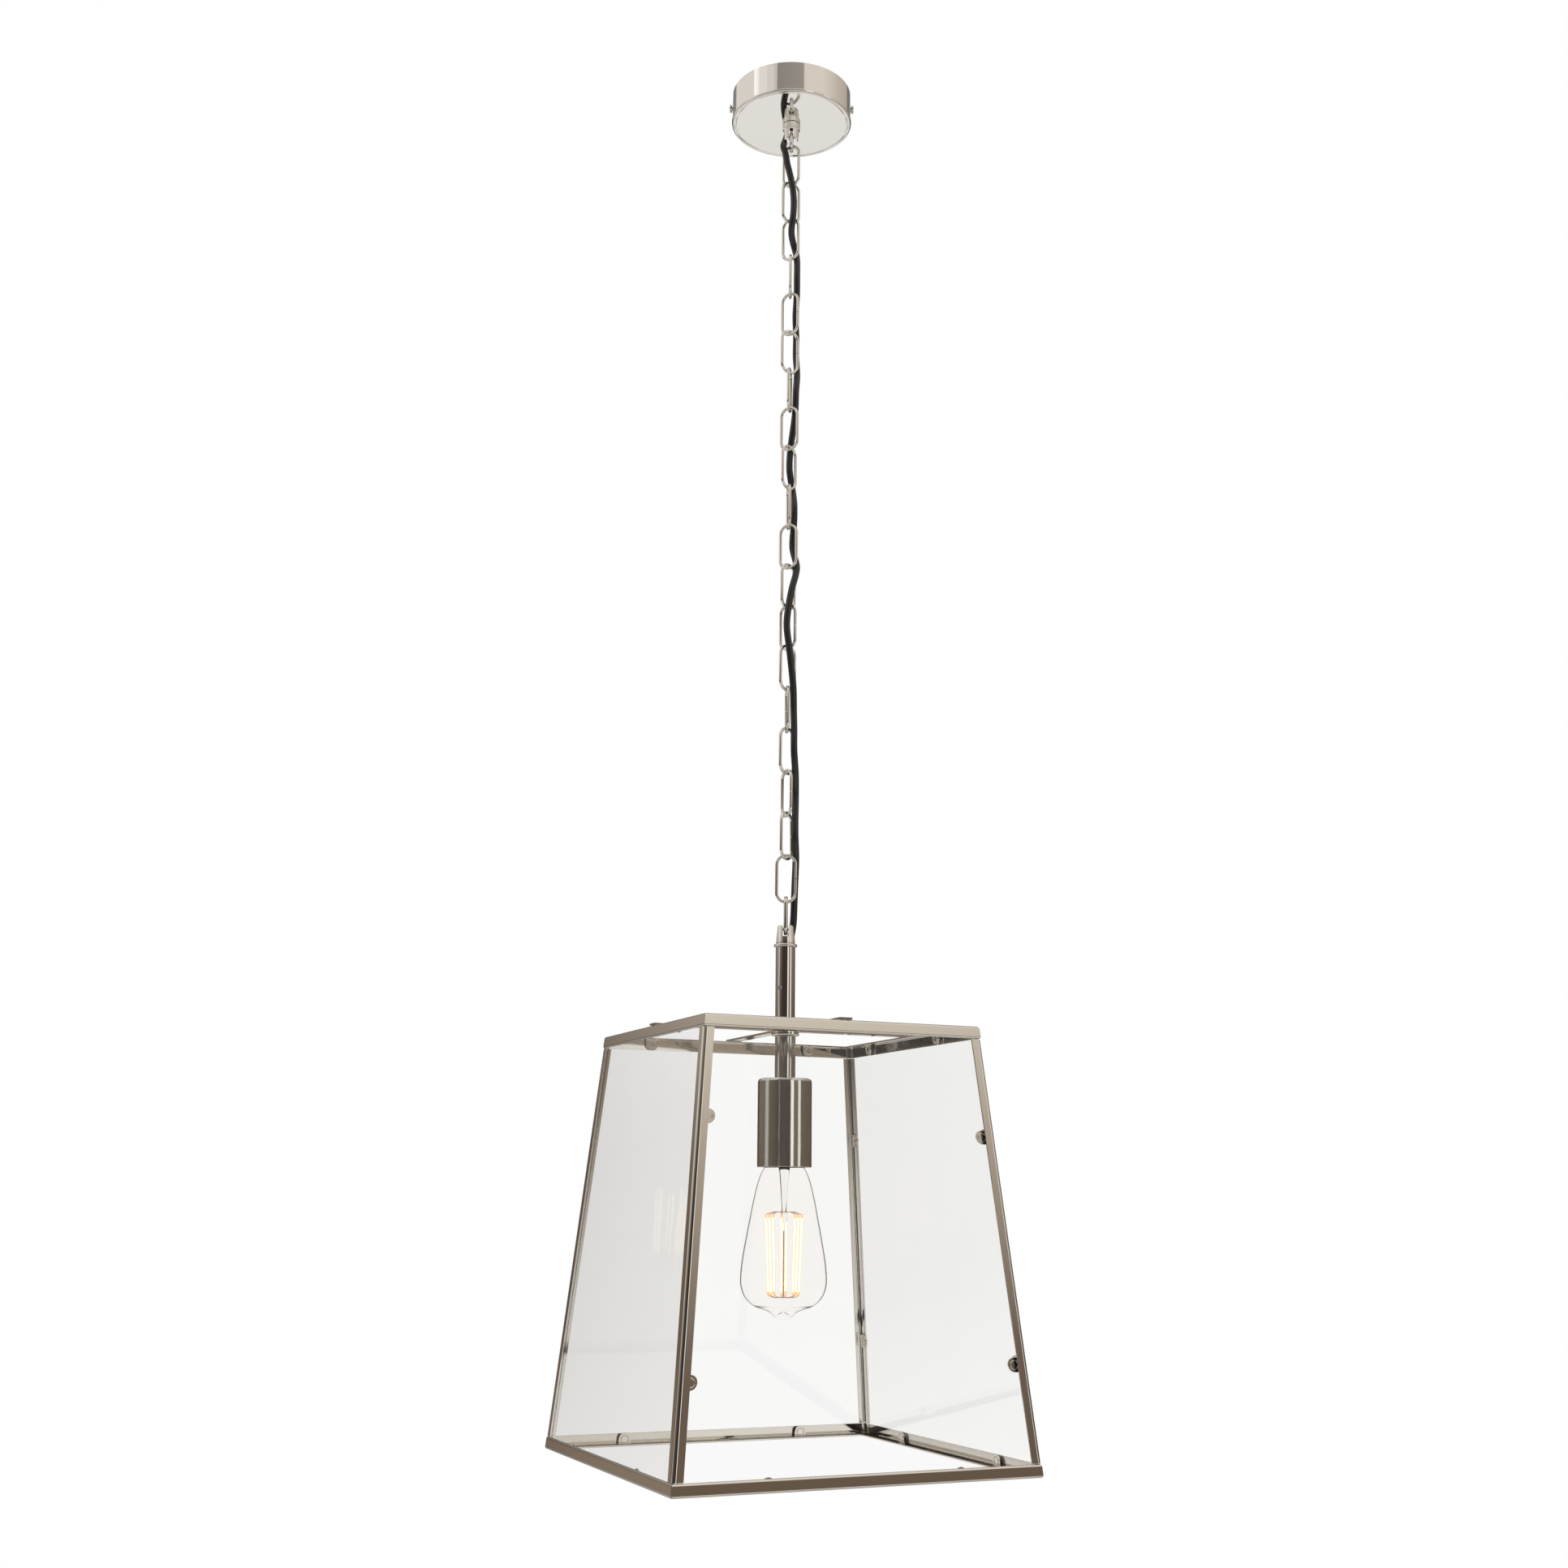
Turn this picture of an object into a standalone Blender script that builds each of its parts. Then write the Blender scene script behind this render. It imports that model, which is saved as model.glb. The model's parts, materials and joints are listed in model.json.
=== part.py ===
"""Hanging square lantern: ceiling rose, linked chain and cable, stem, glazed metal frame and one long bulb.

Metres, +Z up. The ceiling face is z = 0 and the whole object hangs on one vertical axis below the origin.
The lantern's four sides face -Y, +X, +Y and -X. The rose, chain and stem are turned by HANG_TURN about Z.
"""

import math

import bmesh
import bpy
import numpy as np
from mathutils import Matrix, Vector

MM = 0.001
GAP = 0.3  # clearance between separate pieces that touch, mm
HANG_TURN = math.radians(-23.75)

# Ceiling rose, mm
ROSE_RADIUS = 50.0
ROSE_DROP = 27.0
ROSE_WALL = 1.0
BRACKET_REACH = 47.8
BRACKET_WIDTH = 14.0
SIDE_SCREW_DROP = 12.0

# Slotted loop fittings at both ends of the chain, mm
LOOP_RADIUS = 7.3
LOOP_DROP = 14.5
LOOP_SLOT = 4.4
PIN_RADIUS = 1.25
UPPER_PIN_DROP = 12.5

# Chain, mm
LINK_LENGTH = 39.0
LINK_WIDTH = 17.0
LINK_WIRE = 2.4
RING_WIDTH = 12.0
RING_WIRE = 3.2
ROSE_RING_LENGTH = 17.5
STEM_RING_LENGTH = 30.6
LINK_TURNS = (-30, 25, -30, 90, -30, 30, 82, -28, 45, 97, -28, 47, -38, 40, 96, 45, -62, 57, 0)
CABLE_RADIUS = 2.7

# Stem, mm
CLEVIS_LENGTH = 14.0
FLANGE_RADIUS = 9.0
STEM_RADIUS = 7.5
THREAD_RADIUS = 5.0

# Frame, mm
FRAME_TOP = -794.0
FRAME_BOTTOM = -1104.0
TOP_HALF = 107.8
BOTTOM_HALF = 136.7
SHEET = 1.2
RAIL_LEG = 9.0
RAIL_LIP = 10.0
POST_LEG = 8.0
GLASS = 2.0
TAB_WIDTH = 10.0
POST_TAB_REACH = 14.2  # from the post's outer corner
RAIL_TAB_REACH = 9.6  # from the rail's outer face
TAB_SHEET = 0.9
TAB_INSET = SHEET + GLASS + 2.2 * GAP

# Lamp, mm
LAMP_TUBE_DROP = 35.0
LAMP_TUBE_RADIUS = 7.75
COVER_RADIUS = 20.4
COVER_LENGTH = 65.5
BULB_RADIUS = 32.0
BULB_TIP = -1005.0
CAP_TOP = -863.0


def collection(name):
    made = bpy.data.collections.new(name)
    bpy.context.scene.collection.children.link(made)
    return made


def material(name, colour, metallic=0.0, roughness=0.5, transmission=0.0, glow=0.0):
    made = bpy.data.materials.new(name)
    made.use_nodes = True
    surface = made.node_tree.nodes["Principled BSDF"]
    surface.inputs["Base Color"].default_value = (*colour, 1)
    surface.inputs["Metallic"].default_value = metallic
    surface.inputs["Roughness"].default_value = roughness
    surface.inputs["Transmission Weight"].default_value = transmission
    surface.inputs["Emission Color"].default_value = (*colour, 1)
    surface.inputs["Emission Strength"].default_value = glow
    made.diffuse_color = (*colour, 1)
    return made


def add(name, data, finish, turn=0.0, z=0.0):
    """Adds one named piece; turn is about Z and z is its origin's height in mm."""
    piece = bpy.data.objects.new(name, data)
    if finish is None:
        CUTTERS.objects.link(piece)
        piece.hide_render = True
        piece.display_type = "WIRE"
    else:
        LANTERN.objects.link(piece)
        if not data.materials:
            data.materials.append(finish)
    piece.rotation_euler.z = turn
    piece.location.z = z * MM
    return piece


def finished(name, shape):
    """The mesh of a bmesh with its normals turned outward; the bmesh is freed."""
    bmesh.ops.recalc_face_normals(shape, faces=shape.faces)
    data = bpy.data.meshes.new(name)
    shape.to_mesh(data)
    shape.free()
    return data


def box(name, low, high, finish, turn=0.0):
    """A block between two corners in mm."""
    low, high = Vector(low) * MM, Vector(high) * MM
    shape = bmesh.new()
    size = Matrix.Diagonal((*(high - low), 1))
    bmesh.ops.create_cube(shape, size=1, matrix=Matrix.Translation((low + high) / 2) @ size)
    return add(name, finished(name, shape), finish, turn)


def prism(name, near, far, finish, quarter_turns=0):
    """A solid from one flat outline extruded to another, both lists of points in mm in the same order."""
    shape = bmesh.new()
    starts = [Vector(point) * MM for point in near]
    face = shape.faces.new([shape.verts.new(start) for start in starts])
    grown = bmesh.ops.extrude_face_region(shape, geom=[face])
    for tip in grown["geom"]:
        if isinstance(tip, bmesh.types.BMVert):
            index = min(range(len(starts)), key=lambda i: (starts[i] - tip.co).length)
            tip.co = Vector(far[index]) * MM
    return add(name, finished(name, shape), finish, quarter_turns * math.pi / 2)


def turned(name, outline, finish, segments=32, ring=False, turn=0.0, smooth=True):
    """A turned piece from (radius, height) points in mm, with its ends on the axis or closed as a ring."""
    after = outline[1:] + outline[:1]
    if sum(r0 * h1 - r1 * h0 for (r0, h0), (r1, h1) in zip(outline, after)) > 0:
        outline = outline[::-1]  # a Screw's outline runs down its outer side
    edges = [(i, i + 1) for i in range(len(outline) - 1)]
    if ring:
        edges.append((len(outline) - 1, 0))
    data = bpy.data.meshes.new(name)
    data.from_pydata([(radius * MM, 0, height * MM) for radius, height in outline], edges, [])
    piece = add(name, data, finish, turn)
    screw = piece.modifiers.new("turning", "SCREW")
    screw.steps = screw.render_steps = segments
    screw.use_merge_vertices = True
    screw.merge_threshold = 0.00001
    piece = as_mesh(piece)
    if smooth:
        piece.data.shade_smooth()
        piece.data.set_sharp_from_angle(angle=math.radians(35))
    return piece


def rod(name, start, end, radius, finish, segments=16, turn=0.0):
    """A round bar between two points in mm."""
    start, end = Vector(start) * MM, Vector(end) * MM
    place = Matrix.Translation((start + end) / 2) @ (end - start).to_track_quat("Z", "Y").to_matrix().to_4x4()
    shape = bmesh.new()
    bmesh.ops.create_cone(
        shape,
        cap_ends=True,
        segments=segments,
        radius1=radius * MM,
        radius2=radius * MM,
        depth=(end - start).length,
        matrix=place,
    )
    piece = add(name, finished(name, shape), finish, turn)
    piece.data.shade_smooth()
    piece.data.set_sharp_from_angle(angle=math.radians(50))
    return piece


def wire_curve(name, points, radius, cyclic=False, resolution=2):
    """A round wire through points in mm, as a poly curve with filled ends."""
    curve = bpy.data.curves.new(name, "CURVE")
    curve.dimensions = "3D"
    curve.bevel_depth = radius * MM
    curve.bevel_resolution = resolution
    curve.use_fill_caps = True
    line = curve.splines.new("POLY")
    line.points.add(len(points) - 1)
    for target, point in zip(line.points, points):
        target.co = (*(Vector(point) * MM), 1)
    line.use_cyclic_u = cyclic
    line.use_smooth = True
    return curve


def as_mesh(piece):
    """Swaps a curve or modified piece for its plain evaluated mesh, ready for more Booleans."""
    bpy.context.view_layer.update()
    data = bpy.data.meshes.new_from_object(piece.evaluated_get(bpy.context.evaluated_depsgraph_get()))
    shape = bmesh.new()
    shape.from_mesh(data)
    bmesh.ops.remove_doubles(shape, verts=shape.verts, dist=1e-6)
    bmesh.ops.recalc_face_normals(shape, faces=shape.faces)
    shape.to_mesh(data)
    shape.free()
    made = bpy.data.objects.new("plain", data)
    made.matrix_world = piece.matrix_world.copy()
    made.hide_render, made.display_type = piece.hide_render, piece.display_type
    for home in piece.users_collection:
        home.objects.link(made)
    name = piece.name
    bpy.data.objects.remove(piece)
    made.name = name
    return made


def combine(piece, *others, operation="DIFFERENCE"):
    for other in others:
        step = piece.modifiers.new(f"{operation.lower()} {other.name}", "BOOLEAN")
        step.operation, step.solver, step.object = operation, "EXACT", other
    return piece


def oval(length, width, wire, arc=9):
    """Centreline of an upright oval link in the XZ plane, its origin at the top of the wire's centre."""
    radius = (width - wire) / 2
    straight = length - wire - 2 * radius
    points = []
    for i in range(arc):
        angle = math.pi * i / (arc - 1)
        points.append((radius * math.cos(angle), 0, radius * math.sin(angle) - radius))
    for i in range(arc):
        angle = math.pi + math.pi * i / (arc - 1)
        points.append((radius * math.cos(angle), 0, radius * math.sin(angle) - radius - straight))
    return points


def smooth_route(points, steps):
    """Catmull-Rom samples through hand-set points."""
    route = np.array(points, float)
    samples = []
    for i in range(len(route) - 1):
        before, start, end = route[max(i - 1, 0)], route[i], route[i + 1]
        after = route[min(i + 2, len(route) - 1)]
        for t in np.arange(steps) / steps:
            samples.append(
                0.5
                * (
                    2 * start
                    + (end - before) * t
                    + (2 * before - 5 * start + 4 * end - after) * t**2
                    + (3 * start - before - 3 * end + after) * t**3
                )
            )
    return samples + [route[-1]]


for leftover in list(bpy.data.objects):
    bpy.data.objects.remove(leftover)
LANTERN = collection("hanging_lantern")
CUTTERS = collection("cutters")

METAL = material("frame_metal", (0.62, 0.57, 0.48), 1.0, 0.16)
CHAIN_METAL = material("chain_metal", (0.68, 0.64, 0.56), 1.0, 0.2)
STEEL = material("zinc_steel", (0.6, 0.61, 0.62), 1.0, 0.35)
LAMP_METAL = material("lamp_metal", (0.66, 0.66, 0.66), 1.0, 0.2)
BRASS = material("contact_brass", (0.78, 0.6, 0.3), 1.0, 0.3)
GLAZING = material("glass_clear", (0.95, 0.97, 0.96), 0.0, 0.02, 1.0)
BULB_GLASS = material("bulb_glass", (0.98, 0.98, 0.97), 0.0, 0.02, 1.0)
FILAMENT = material("filament_glow", (1.0, 0.78, 0.45), 0.0, 0.5, 0.0, 6.0)
BLACK_CABLE = material("black_cable", (0.02, 0.02, 0.02), 0.0, 0.45)
WHITE_PLASTIC = material("white_plastic", (0.85, 0.85, 0.83), 0.0, 0.4)

# Heights down the chain, mm. Every link's origin is the lowest wire centre of the one above it.
bar_z = -ROSE_DROP - UPPER_PIN_DROP
hinge_heights = [bar_z]
wire = ROSE_RING_LENGTH - RING_WIRE
ring_top = bar_z + PIN_RADIUS + GAP + RING_WIRE / 2
link_tops = [ring_top]
lowest = ring_top - wire
above_wire = RING_WIRE
for _ in LINK_TURNS:
    hinge_heights.append(lowest)
    link_tops.append(lowest + above_wire / 2 + GAP + LINK_WIRE / 2)
    lowest = link_tops[-1] - (LINK_LENGTH - LINK_WIRE)
    above_wire = LINK_WIRE
hinge_heights.append(lowest)
link_tops.append(lowest + LINK_WIRE / 2 + GAP + RING_WIRE / 2)
lowest = link_tops[-1] - (STEM_RING_LENGTH - RING_WIRE)
pin_z = lowest + RING_WIRE / 2 + GAP + PIN_RADIUS

# Cable beside and through the chain: (link, share of the pitch below its middle, right mm, back mm).
CABLE_WAY = (
    (1, 0, -3.5, -5.5), (1, 0.5, 0.5, -5.5), (2, 0, 2.5, -4.8), (2, 0.5, 2.5, -5.2),
    (3, -0.18, 0.5, -2.5), (3, 0, 1.5, 1.5), (3, 0.24, 4, 4), (3, 0.5, 5.5, 2.5),
    (4, 0, 5.5, 0), (4, 0.5, 5.5, 2.5), (5, 0, 4.5, 5), (5, 0.5, 5.5, 5.5),
    (6, 0, 5, 8), (6, 0.5, 6, 4.5), (7, 0, 5.2, 1.5), (7, 0.5, 4.5, 4),
    (8, 0, 3, 5), (8, 0.5, 2, 5.5), (9, 0, 0.5, 6.5), (9, 0.5, 3.5, 5),
    (10, 0, 4.5, 0.5), (10, 0.5, 4.2, 3.5), (11, 0, 3, 4.8), (11, 0.5, 4, 3.2),
    (12, 0, 3.5, -3.5), (12, 0.5, 1, -5.5), (13, 0, -1, -6), (13, 0.5, 1.5, -5.5),
    (14, 0, 3, -4.8), (14, 0.5, 4.5, -3), (15, 0, 5, 0), (15, 0.5, 5.5, -1.5),
    (16, 0, 5.5, -2.5), (16, 0.5, 6.5, 1), (17, 0, 7, 5.5), (17, 0.5, 6.5, 3),
    (18, 0, 6.8, -0.5), (18, 0.5, 7.5, 3.5), (19, 0, 7, 5.5), (19, 0.5, 6.5, 5),
)
# The cable's ends, inside the rose and down into the stem: (right, back, height) in mm.
CABLE_HEAD = ((3, 14, -12), (-1, 11, -19), (-3, 9.5, -27), (-4.5, 8, -35))
CABLE_HEAD += ((-6, 5, -41), (-6.5, 0.5, -47), (-4.5, -4, -56))
CABLE_TAIL = ((6, 5, -709), (5, 4.6, -716), (4.2, 4, -721), (2.4, 2.4, -725), (0.8, 0.8, -730))
CABLE_TAIL += ((0, 0, -745), (0, 0, -790), (0, 0, -830))
CABLE_CLEARANCE = 0.5


def chain_wires():
    """Every ring and link as its centreline in mm, and its wire's radius."""
    shapes = [(ROSE_RING_LENGTH, RING_WIDTH, RING_WIRE, 90)]
    shapes += [(LINK_LENGTH, LINK_WIDTH, LINK_WIRE, turn) for turn in LINK_TURNS]
    shapes.append((STEM_RING_LENGTH, RING_WIDTH, RING_WIRE, 90))
    wires = []
    for (length, width, gauge, turn), top in zip(shapes, link_tops):
        angle = math.radians(turn)
        line = [(x * math.cos(angle), x * math.sin(angle), z + top) for x, _, z in oval(length, width, gauge)]
        wires.append((np.array(line), gauge / 2))
    return wires


def keep_clear(route, wires, fixed_ends):
    """The route with its points moved level, away from every wire that its tube comes too close to."""
    route = np.array(route, float)
    free = np.ones(len(route))
    free[: fixed_ends[0]] = free[-fixed_ends[1] :] = 0
    for _ in range(400):
        chords = np.array(smooth_route(route, 2))
        steps = np.diff(chords, axis=0)
        samples = np.concatenate([chords[:-1] + steps * share for share in (0, 0.25, 0.5, 0.75)])
        moved = False
        for line, radius in wires:
            spans = np.roll(line, -1, axis=0) - line
            near = samples[abs(samples[:, 2] - line[:, 2].mean()) < np.ptp(line[:, 2]) / 2 + 8]
            away = near[:, None] - line
            share = np.clip((away * spans).sum(2) / (spans**2).sum(1), 0, 1)
            away = away - share[..., None] * spans
            gaps = np.linalg.norm(away, axis=2) - radius - CABLE_RADIUS
            spot = np.unravel_index(gaps.argmin(), gaps.shape)
            if gaps[spot] > CABLE_CLEARANCE - 0.1:
                continue
            level = away[spot][:2] / np.linalg.norm(away[spot][:2])
            hold = free * np.exp(-(((route[:, 2] - near[spot[0], 2]) / 9) ** 2))
            route[:, :2] += level * hold[:, None] * min(0.5, 0.4 * (CABLE_CLEARANCE - gaps[spot]))
            moved = True
        if not moved:
            break
    return route


pitch = LINK_LENGTH - LINK_WIRE - GAP - LINK_WIRE
way = []
for link, share, right, back in CABLE_WAY:
    way.append((right, back, link_tops[link] - (LINK_LENGTH - LINK_WIRE) / 2 - share * pitch))
route = keep_clear([*CABLE_HEAD, *way, *CABLE_TAIL], chain_wires(), (5, len(CABLE_TAIL)))
route = smooth_route(route, 2)
add("supply_cable", wire_curve("supply_cable", route, CABLE_RADIUS), BLACK_CABLE, HANG_TURN)
passage = wire_curve("upper_passage", route[3:17], CABLE_RADIUS + 0.4)
upper_passage = as_mesh(add("upper_passage", passage, None, HANG_TURN))
passage = wire_curve("lower_passage", route[-21:], CABLE_RADIUS + 0.4)
lower_passage = as_mesh(add("lower_passage", passage, None, HANG_TURN))

# Ceiling bracket: a flat strip with turned-down ends that take the rose's side screws.
half = BRACKET_WIDTH / 2
bracket = box("ceiling_bracket", (-BRACKET_REACH, -half, -1.6), (BRACKET_REACH, half, 0), METAL, HANG_TURN)
for side in (-1, 1):
    reach = sorted((side * BRACKET_REACH, side * (BRACKET_REACH - 1.5)))
    tab = box(f"bracket_end_{side}", (reach[0], -half, -17.5), (reach[1], half, -1), None, HANG_TURN)
    combine(bracket, tab, operation="UNION")
for side in (-1, 1):
    start, end = (side * 40, 0, -SIDE_SCREW_DROP), (side * 56, 0, -SIDE_SCREW_DROP)
    combine(bracket, rod(f"bracket_screw_hole_{side}", start, end, 1.9, None, 16, HANG_TURN))
    hole = rod(f"ceiling_screw_hole_{side}", (side * 30, 0, -4), (side * 30, 0, 3), 2.4, None, 16, HANG_TURN)
    combine(bracket, hole)

inner = ROSE_RADIUS - ROSE_WALL
rose = turned(
    "ceiling_rose",
    [
        (ROSE_RADIUS, 0),
        (ROSE_RADIUS, 1.2 - ROSE_DROP),
        (ROSE_RADIUS + 0.7, 0.8 - ROSE_DROP),
        (ROSE_RADIUS + 0.7, 0.2 - ROSE_DROP),
        (ROSE_RADIUS - 0.2, -ROSE_DROP),
        (THREAD_RADIUS + GAP, -ROSE_DROP),
        (THREAD_RADIUS + GAP, ROSE_WALL - ROSE_DROP),
        (inner, ROSE_WALL - ROSE_DROP),
        (inner, 0),
    ],
    METAL,
    72,
    ring=True,
    turn=HANG_TURN,
)
combine(rose, upper_passage)
for side, label in ((-1, "left"), (1, "right")):
    start, end = (side * 44, 0, -SIDE_SCREW_DROP), (side * 58, 0, -SIDE_SCREW_DROP)
    combine(rose, rod(f"rose_screw_hole_{label}", start, end, 1.9, None, 16, HANG_TURN))
    start, end = (side * 50.4, 0, -SIDE_SCREW_DROP), (side * 52.6, 0, -SIDE_SCREW_DROP)
    head = rod(f"screw_head_{label}", start, end, 3.2, None, 20, HANG_TURN)
    start, end = (side * 42, 0, -SIDE_SCREW_DROP), (side * 51, 0, -SIDE_SCREW_DROP)
    screw = rod(f"rose_screw_{label}", start, end, 1.5, STEEL, 16, HANG_TURN)
    slot_low = (min(side * 52, side * 54), -0.4, -SIDE_SCREW_DROP - 4)
    slot_high = (max(side * 52, side * 54), 0.4, -SIDE_SCREW_DROP + 4)
    combine(screw, head, operation="UNION")
    combine(screw, box(f"screw_slot_{label}", slot_low, slot_high, None, HANG_TURN))

block = box("terminal_block", (15, -8, -15), (37, 8, -1.6 - GAP), WHITE_PLASTIC, HANG_TURN)
for i in range(3):
    x = 19 + 7 * i
    combine(block, rod(f"wire_way_{i}", (x, -10, -10), (x, 10, -10), 1.6, None, 12, HANG_TURN))
    combine(block, rod(f"clamp_hole_{i}", (x, 3, -17), (x, 3, -9.5), 1.4, None, 12, HANG_TURN))


def slotted_loop(name, finish, rows, slot_floor, slot_end, pin_height, passage):
    """A turned fitting with a slot that a ring hangs in, a cross hole for its pin and a way for the cable."""
    loop = turned(name, rows, finish, 32, turn=HANG_TURN)
    low, high = sorted((slot_floor, slot_end))
    combine(loop, box(f"{name}_slot", (-LOOP_SLOT / 2, -12, low), (LOOP_SLOT / 2, 12, high), None, HANG_TURN))
    reach = LOOP_RADIUS + 2
    start, end = (-reach, 0, pin_height), (reach, 0, pin_height)
    combine(loop, rod(f"{name}_hole", start, end, 1.55, None, 16, HANG_TURN))
    return combine(loop, passage)


base = -ROSE_DROP - GAP
slotted_loop(
    "rose_loop",
    METAL,
    [
        (0, base - LOOP_DROP),
        (4.9, base - LOOP_DROP),
        (5.9, base - LOOP_DROP + 1),
        (6.4, base - 5),
        (LOOP_RADIUS, base - 4.4),
        (LOOP_RADIUS, base),
        (THREAD_RADIUS, base),
        (THREAD_RADIUS, base + 9),
        (0, base + 9),
    ],
    bar_z + 5.8,
    base - LOOP_DROP - 2,
    bar_z,
    upper_passage,
)
nut = turned(
    "rose_loop_nut",
    [
        (THREAD_RADIUS + GAP, -ROSE_DROP + ROSE_WALL + GAP),
        (7.6, -ROSE_DROP + ROSE_WALL + GAP),
        (7.6, -ROSE_DROP + 5),
        (THREAD_RADIUS + GAP, -ROSE_DROP + 5),
    ],
    STEEL,
    6,
    ring=True,
    turn=HANG_TURN,
    smooth=False,
)
nut_bore = turned("nut_bore", [(0, -30), (5.3, -30), (5.3, -15), (0, -15)], None, 32, turn=HANG_TURN)
combine(nut, nut_bore, upper_passage)
rod("rose_loop_pin", (-5.7, 0, bar_z), (5.7, 0, bar_z), PIN_RADIUS, STEEL, 16, HANG_TURN)

# Chain: a small ring at the rose, the long links and a heavier ring at the stem.
link_curve = wire_curve("chain_link", oval(LINK_LENGTH, LINK_WIDTH, LINK_WIRE), LINK_WIRE / 2, cyclic=True)
link_curve.materials.append(CHAIN_METAL)
offset = link_tops[0] - hinge_heights[0]
ring_points = [(x, y, z + offset) for x, y, z in oval(ROSE_RING_LENGTH, RING_WIDTH, RING_WIRE)]
quarter = math.pi / 2
rose_ring = wire_curve("rose_ring", ring_points, RING_WIRE / 2, cyclic=True)
add("rose_ring", rose_ring, CHAIN_METAL, HANG_TURN + quarter, hinge_heights[0])
for number, turn in enumerate(LINK_TURNS, 1):
    facing = HANG_TURN + math.radians(turn)
    add(f"chain_link_{number:02d}", link_curve, CHAIN_METAL, facing, link_tops[number])
offset = link_tops[-1] - hinge_heights[-1]
ring_points = [(x, y, z + offset) for x, y, z in oval(STEM_RING_LENGTH, RING_WIDTH, RING_WIRE)]
stem_ring = wire_curve("stem_ring", ring_points, RING_WIRE / 2, cyclic=True)
add("stem_ring", stem_ring, CHAIN_METAL, HANG_TURN + quarter, hinge_heights[-1])

# Stem: slotted loop on its pin, a flange ring, the tube with its set screw.
clevis_top = pin_z + 2.8
clevis_foot = clevis_top - CLEVIS_LENGTH
slotted_loop(
    "stem_loop",
    METAL,
    [
        (0, clevis_top),
        (5.4, clevis_top),
        (6.2, clevis_top - 1),
        (7.2, clevis_foot + 1),
        (7.2, clevis_foot),
        (THREAD_RADIUS, clevis_foot),
        (THREAD_RADIUS, clevis_foot - 12),
        (0, clevis_foot - 12),
    ],
    pin_z - 6.0,
    clevis_top + 2,
    pin_z,
    lower_passage,
)
rod("stem_loop_pin", (-5.8, 0, pin_z), (5.8, 0, pin_z), PIN_RADIUS, STEEL, 16, HANG_TURN)
flange_top = clevis_foot - GAP
flange_low = flange_top - 2.4
turned(
    "stem_flange",
    [
        (THREAD_RADIUS + GAP, flange_top),
        (FLANGE_RADIUS - 0.7, flange_top),
        (FLANGE_RADIUS, flange_top - 0.7),
        (FLANGE_RADIUS, flange_low + 0.7),
        (FLANGE_RADIUS - 0.7, flange_low),
        (THREAD_RADIUS + GAP, flange_low),
    ],
    METAL,
    40,
    ring=True,
)
stem_top, stem_low = flange_low - GAP, FRAME_TOP + 3.0 + GAP
stem = turned(
    "stem_tube",
    [
        (STEM_RADIUS, stem_top),
        (STEM_RADIUS, stem_low),
        (THREAD_RADIUS + GAP, stem_low),
        (THREAD_RADIUS + GAP, stem_top),
    ],
    METAL,
    40,
    ring=True,
)
screw_z, screw_turn = -761.0, HANG_TURN + math.radians(-120)
combine(stem, rod("set_screw_hole", (2, 0, screw_z), (12, 0, screw_z), 2.1, None, 16, screw_turn))
set_screw = rod("stem_set_screw", (5.4, 0, screw_z), (7.6, 0, screw_z), 1.75, STEEL, 16, screw_turn)
combine(set_screw, rod("hex_socket", (6.4, 0, screw_z), (9, 0, screw_z), 0.9, None, 6, screw_turn))

# Frame. Each side is drawn facing -Y and turned a quarter for the next one.
# Rail tabs are placed along the bottom rail and along the top rail.
SIDES = (
    ("front", 0, (-68, 74), (-60, 53)),
    ("right", 1, (-80, 68), (-47, 68)),
    ("back", 2, (-74, 73), (-67, 68)),
    ("left", 3, (-75, 62), (-57, 54)),
)
# Post tabs are (height, on the post's other pane). The back left post has none.
CORNERS = (
    ("front_left", 0, ((-864, False), (-1035, False), (-865, True), (-1036, True))),
    ("front_right", 1, ((-873, False), (-1029, False), (-874, True), (-1030, True))),
    ("back_right", 2, ((-870, True), (-1030, True))),
    ("back_left", 3, ()),
)


def half_width(height):
    """Half of the frame's outer width at a height in mm."""
    share = (height - FRAME_BOTTOM) / (FRAME_TOP - FRAME_BOTTOM)
    return BOTTOM_HALF + (TOP_HALF - BOTTOM_HALF) * share


def mitred(name, outline, finish, quarter_turns):
    """A rail along X from an outline of (depth in from the face, height), mitred to meet its neighbours."""
    ends = []
    for side in (-1, 1):
        away = [half_width(height) - depth for depth, height in outline]
        ends.append([(side * (a - GAP / 1.9), -a, height) for a, (_, height) in zip(away, outline)])
    return prism(name, *ends, finish, quarter_turns)


def tab_outline(low, high, along):
    """A strip from low to high with one half-round end, as (across, reach) points about the middle line."""
    radius = TAB_WIDTH / 2
    points = [(along - radius, low), (along + radius, low)]
    for i in range(9):
        angle = math.pi * i / 8
        points.append((along + radius * math.cos(angle), high - radius + radius * math.sin(angle)))
    return points


def rail_tab(name, along, root, tip, quarter_turns):
    """A tab standing on a rail's lip, parallel to the pane behind it."""
    rise = 1 if tip > root else -1
    outline = [(across, root + rise * reach) for across, reach in tab_outline(0, abs(tip - root), along)]
    faces = []
    for depth in (TAB_INSET, TAB_INSET + TAB_SHEET):
        faces.append([(across, depth - half_width(height), height) for across, height in outline])
    return prism(name, *faces, None, quarter_turns)


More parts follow.
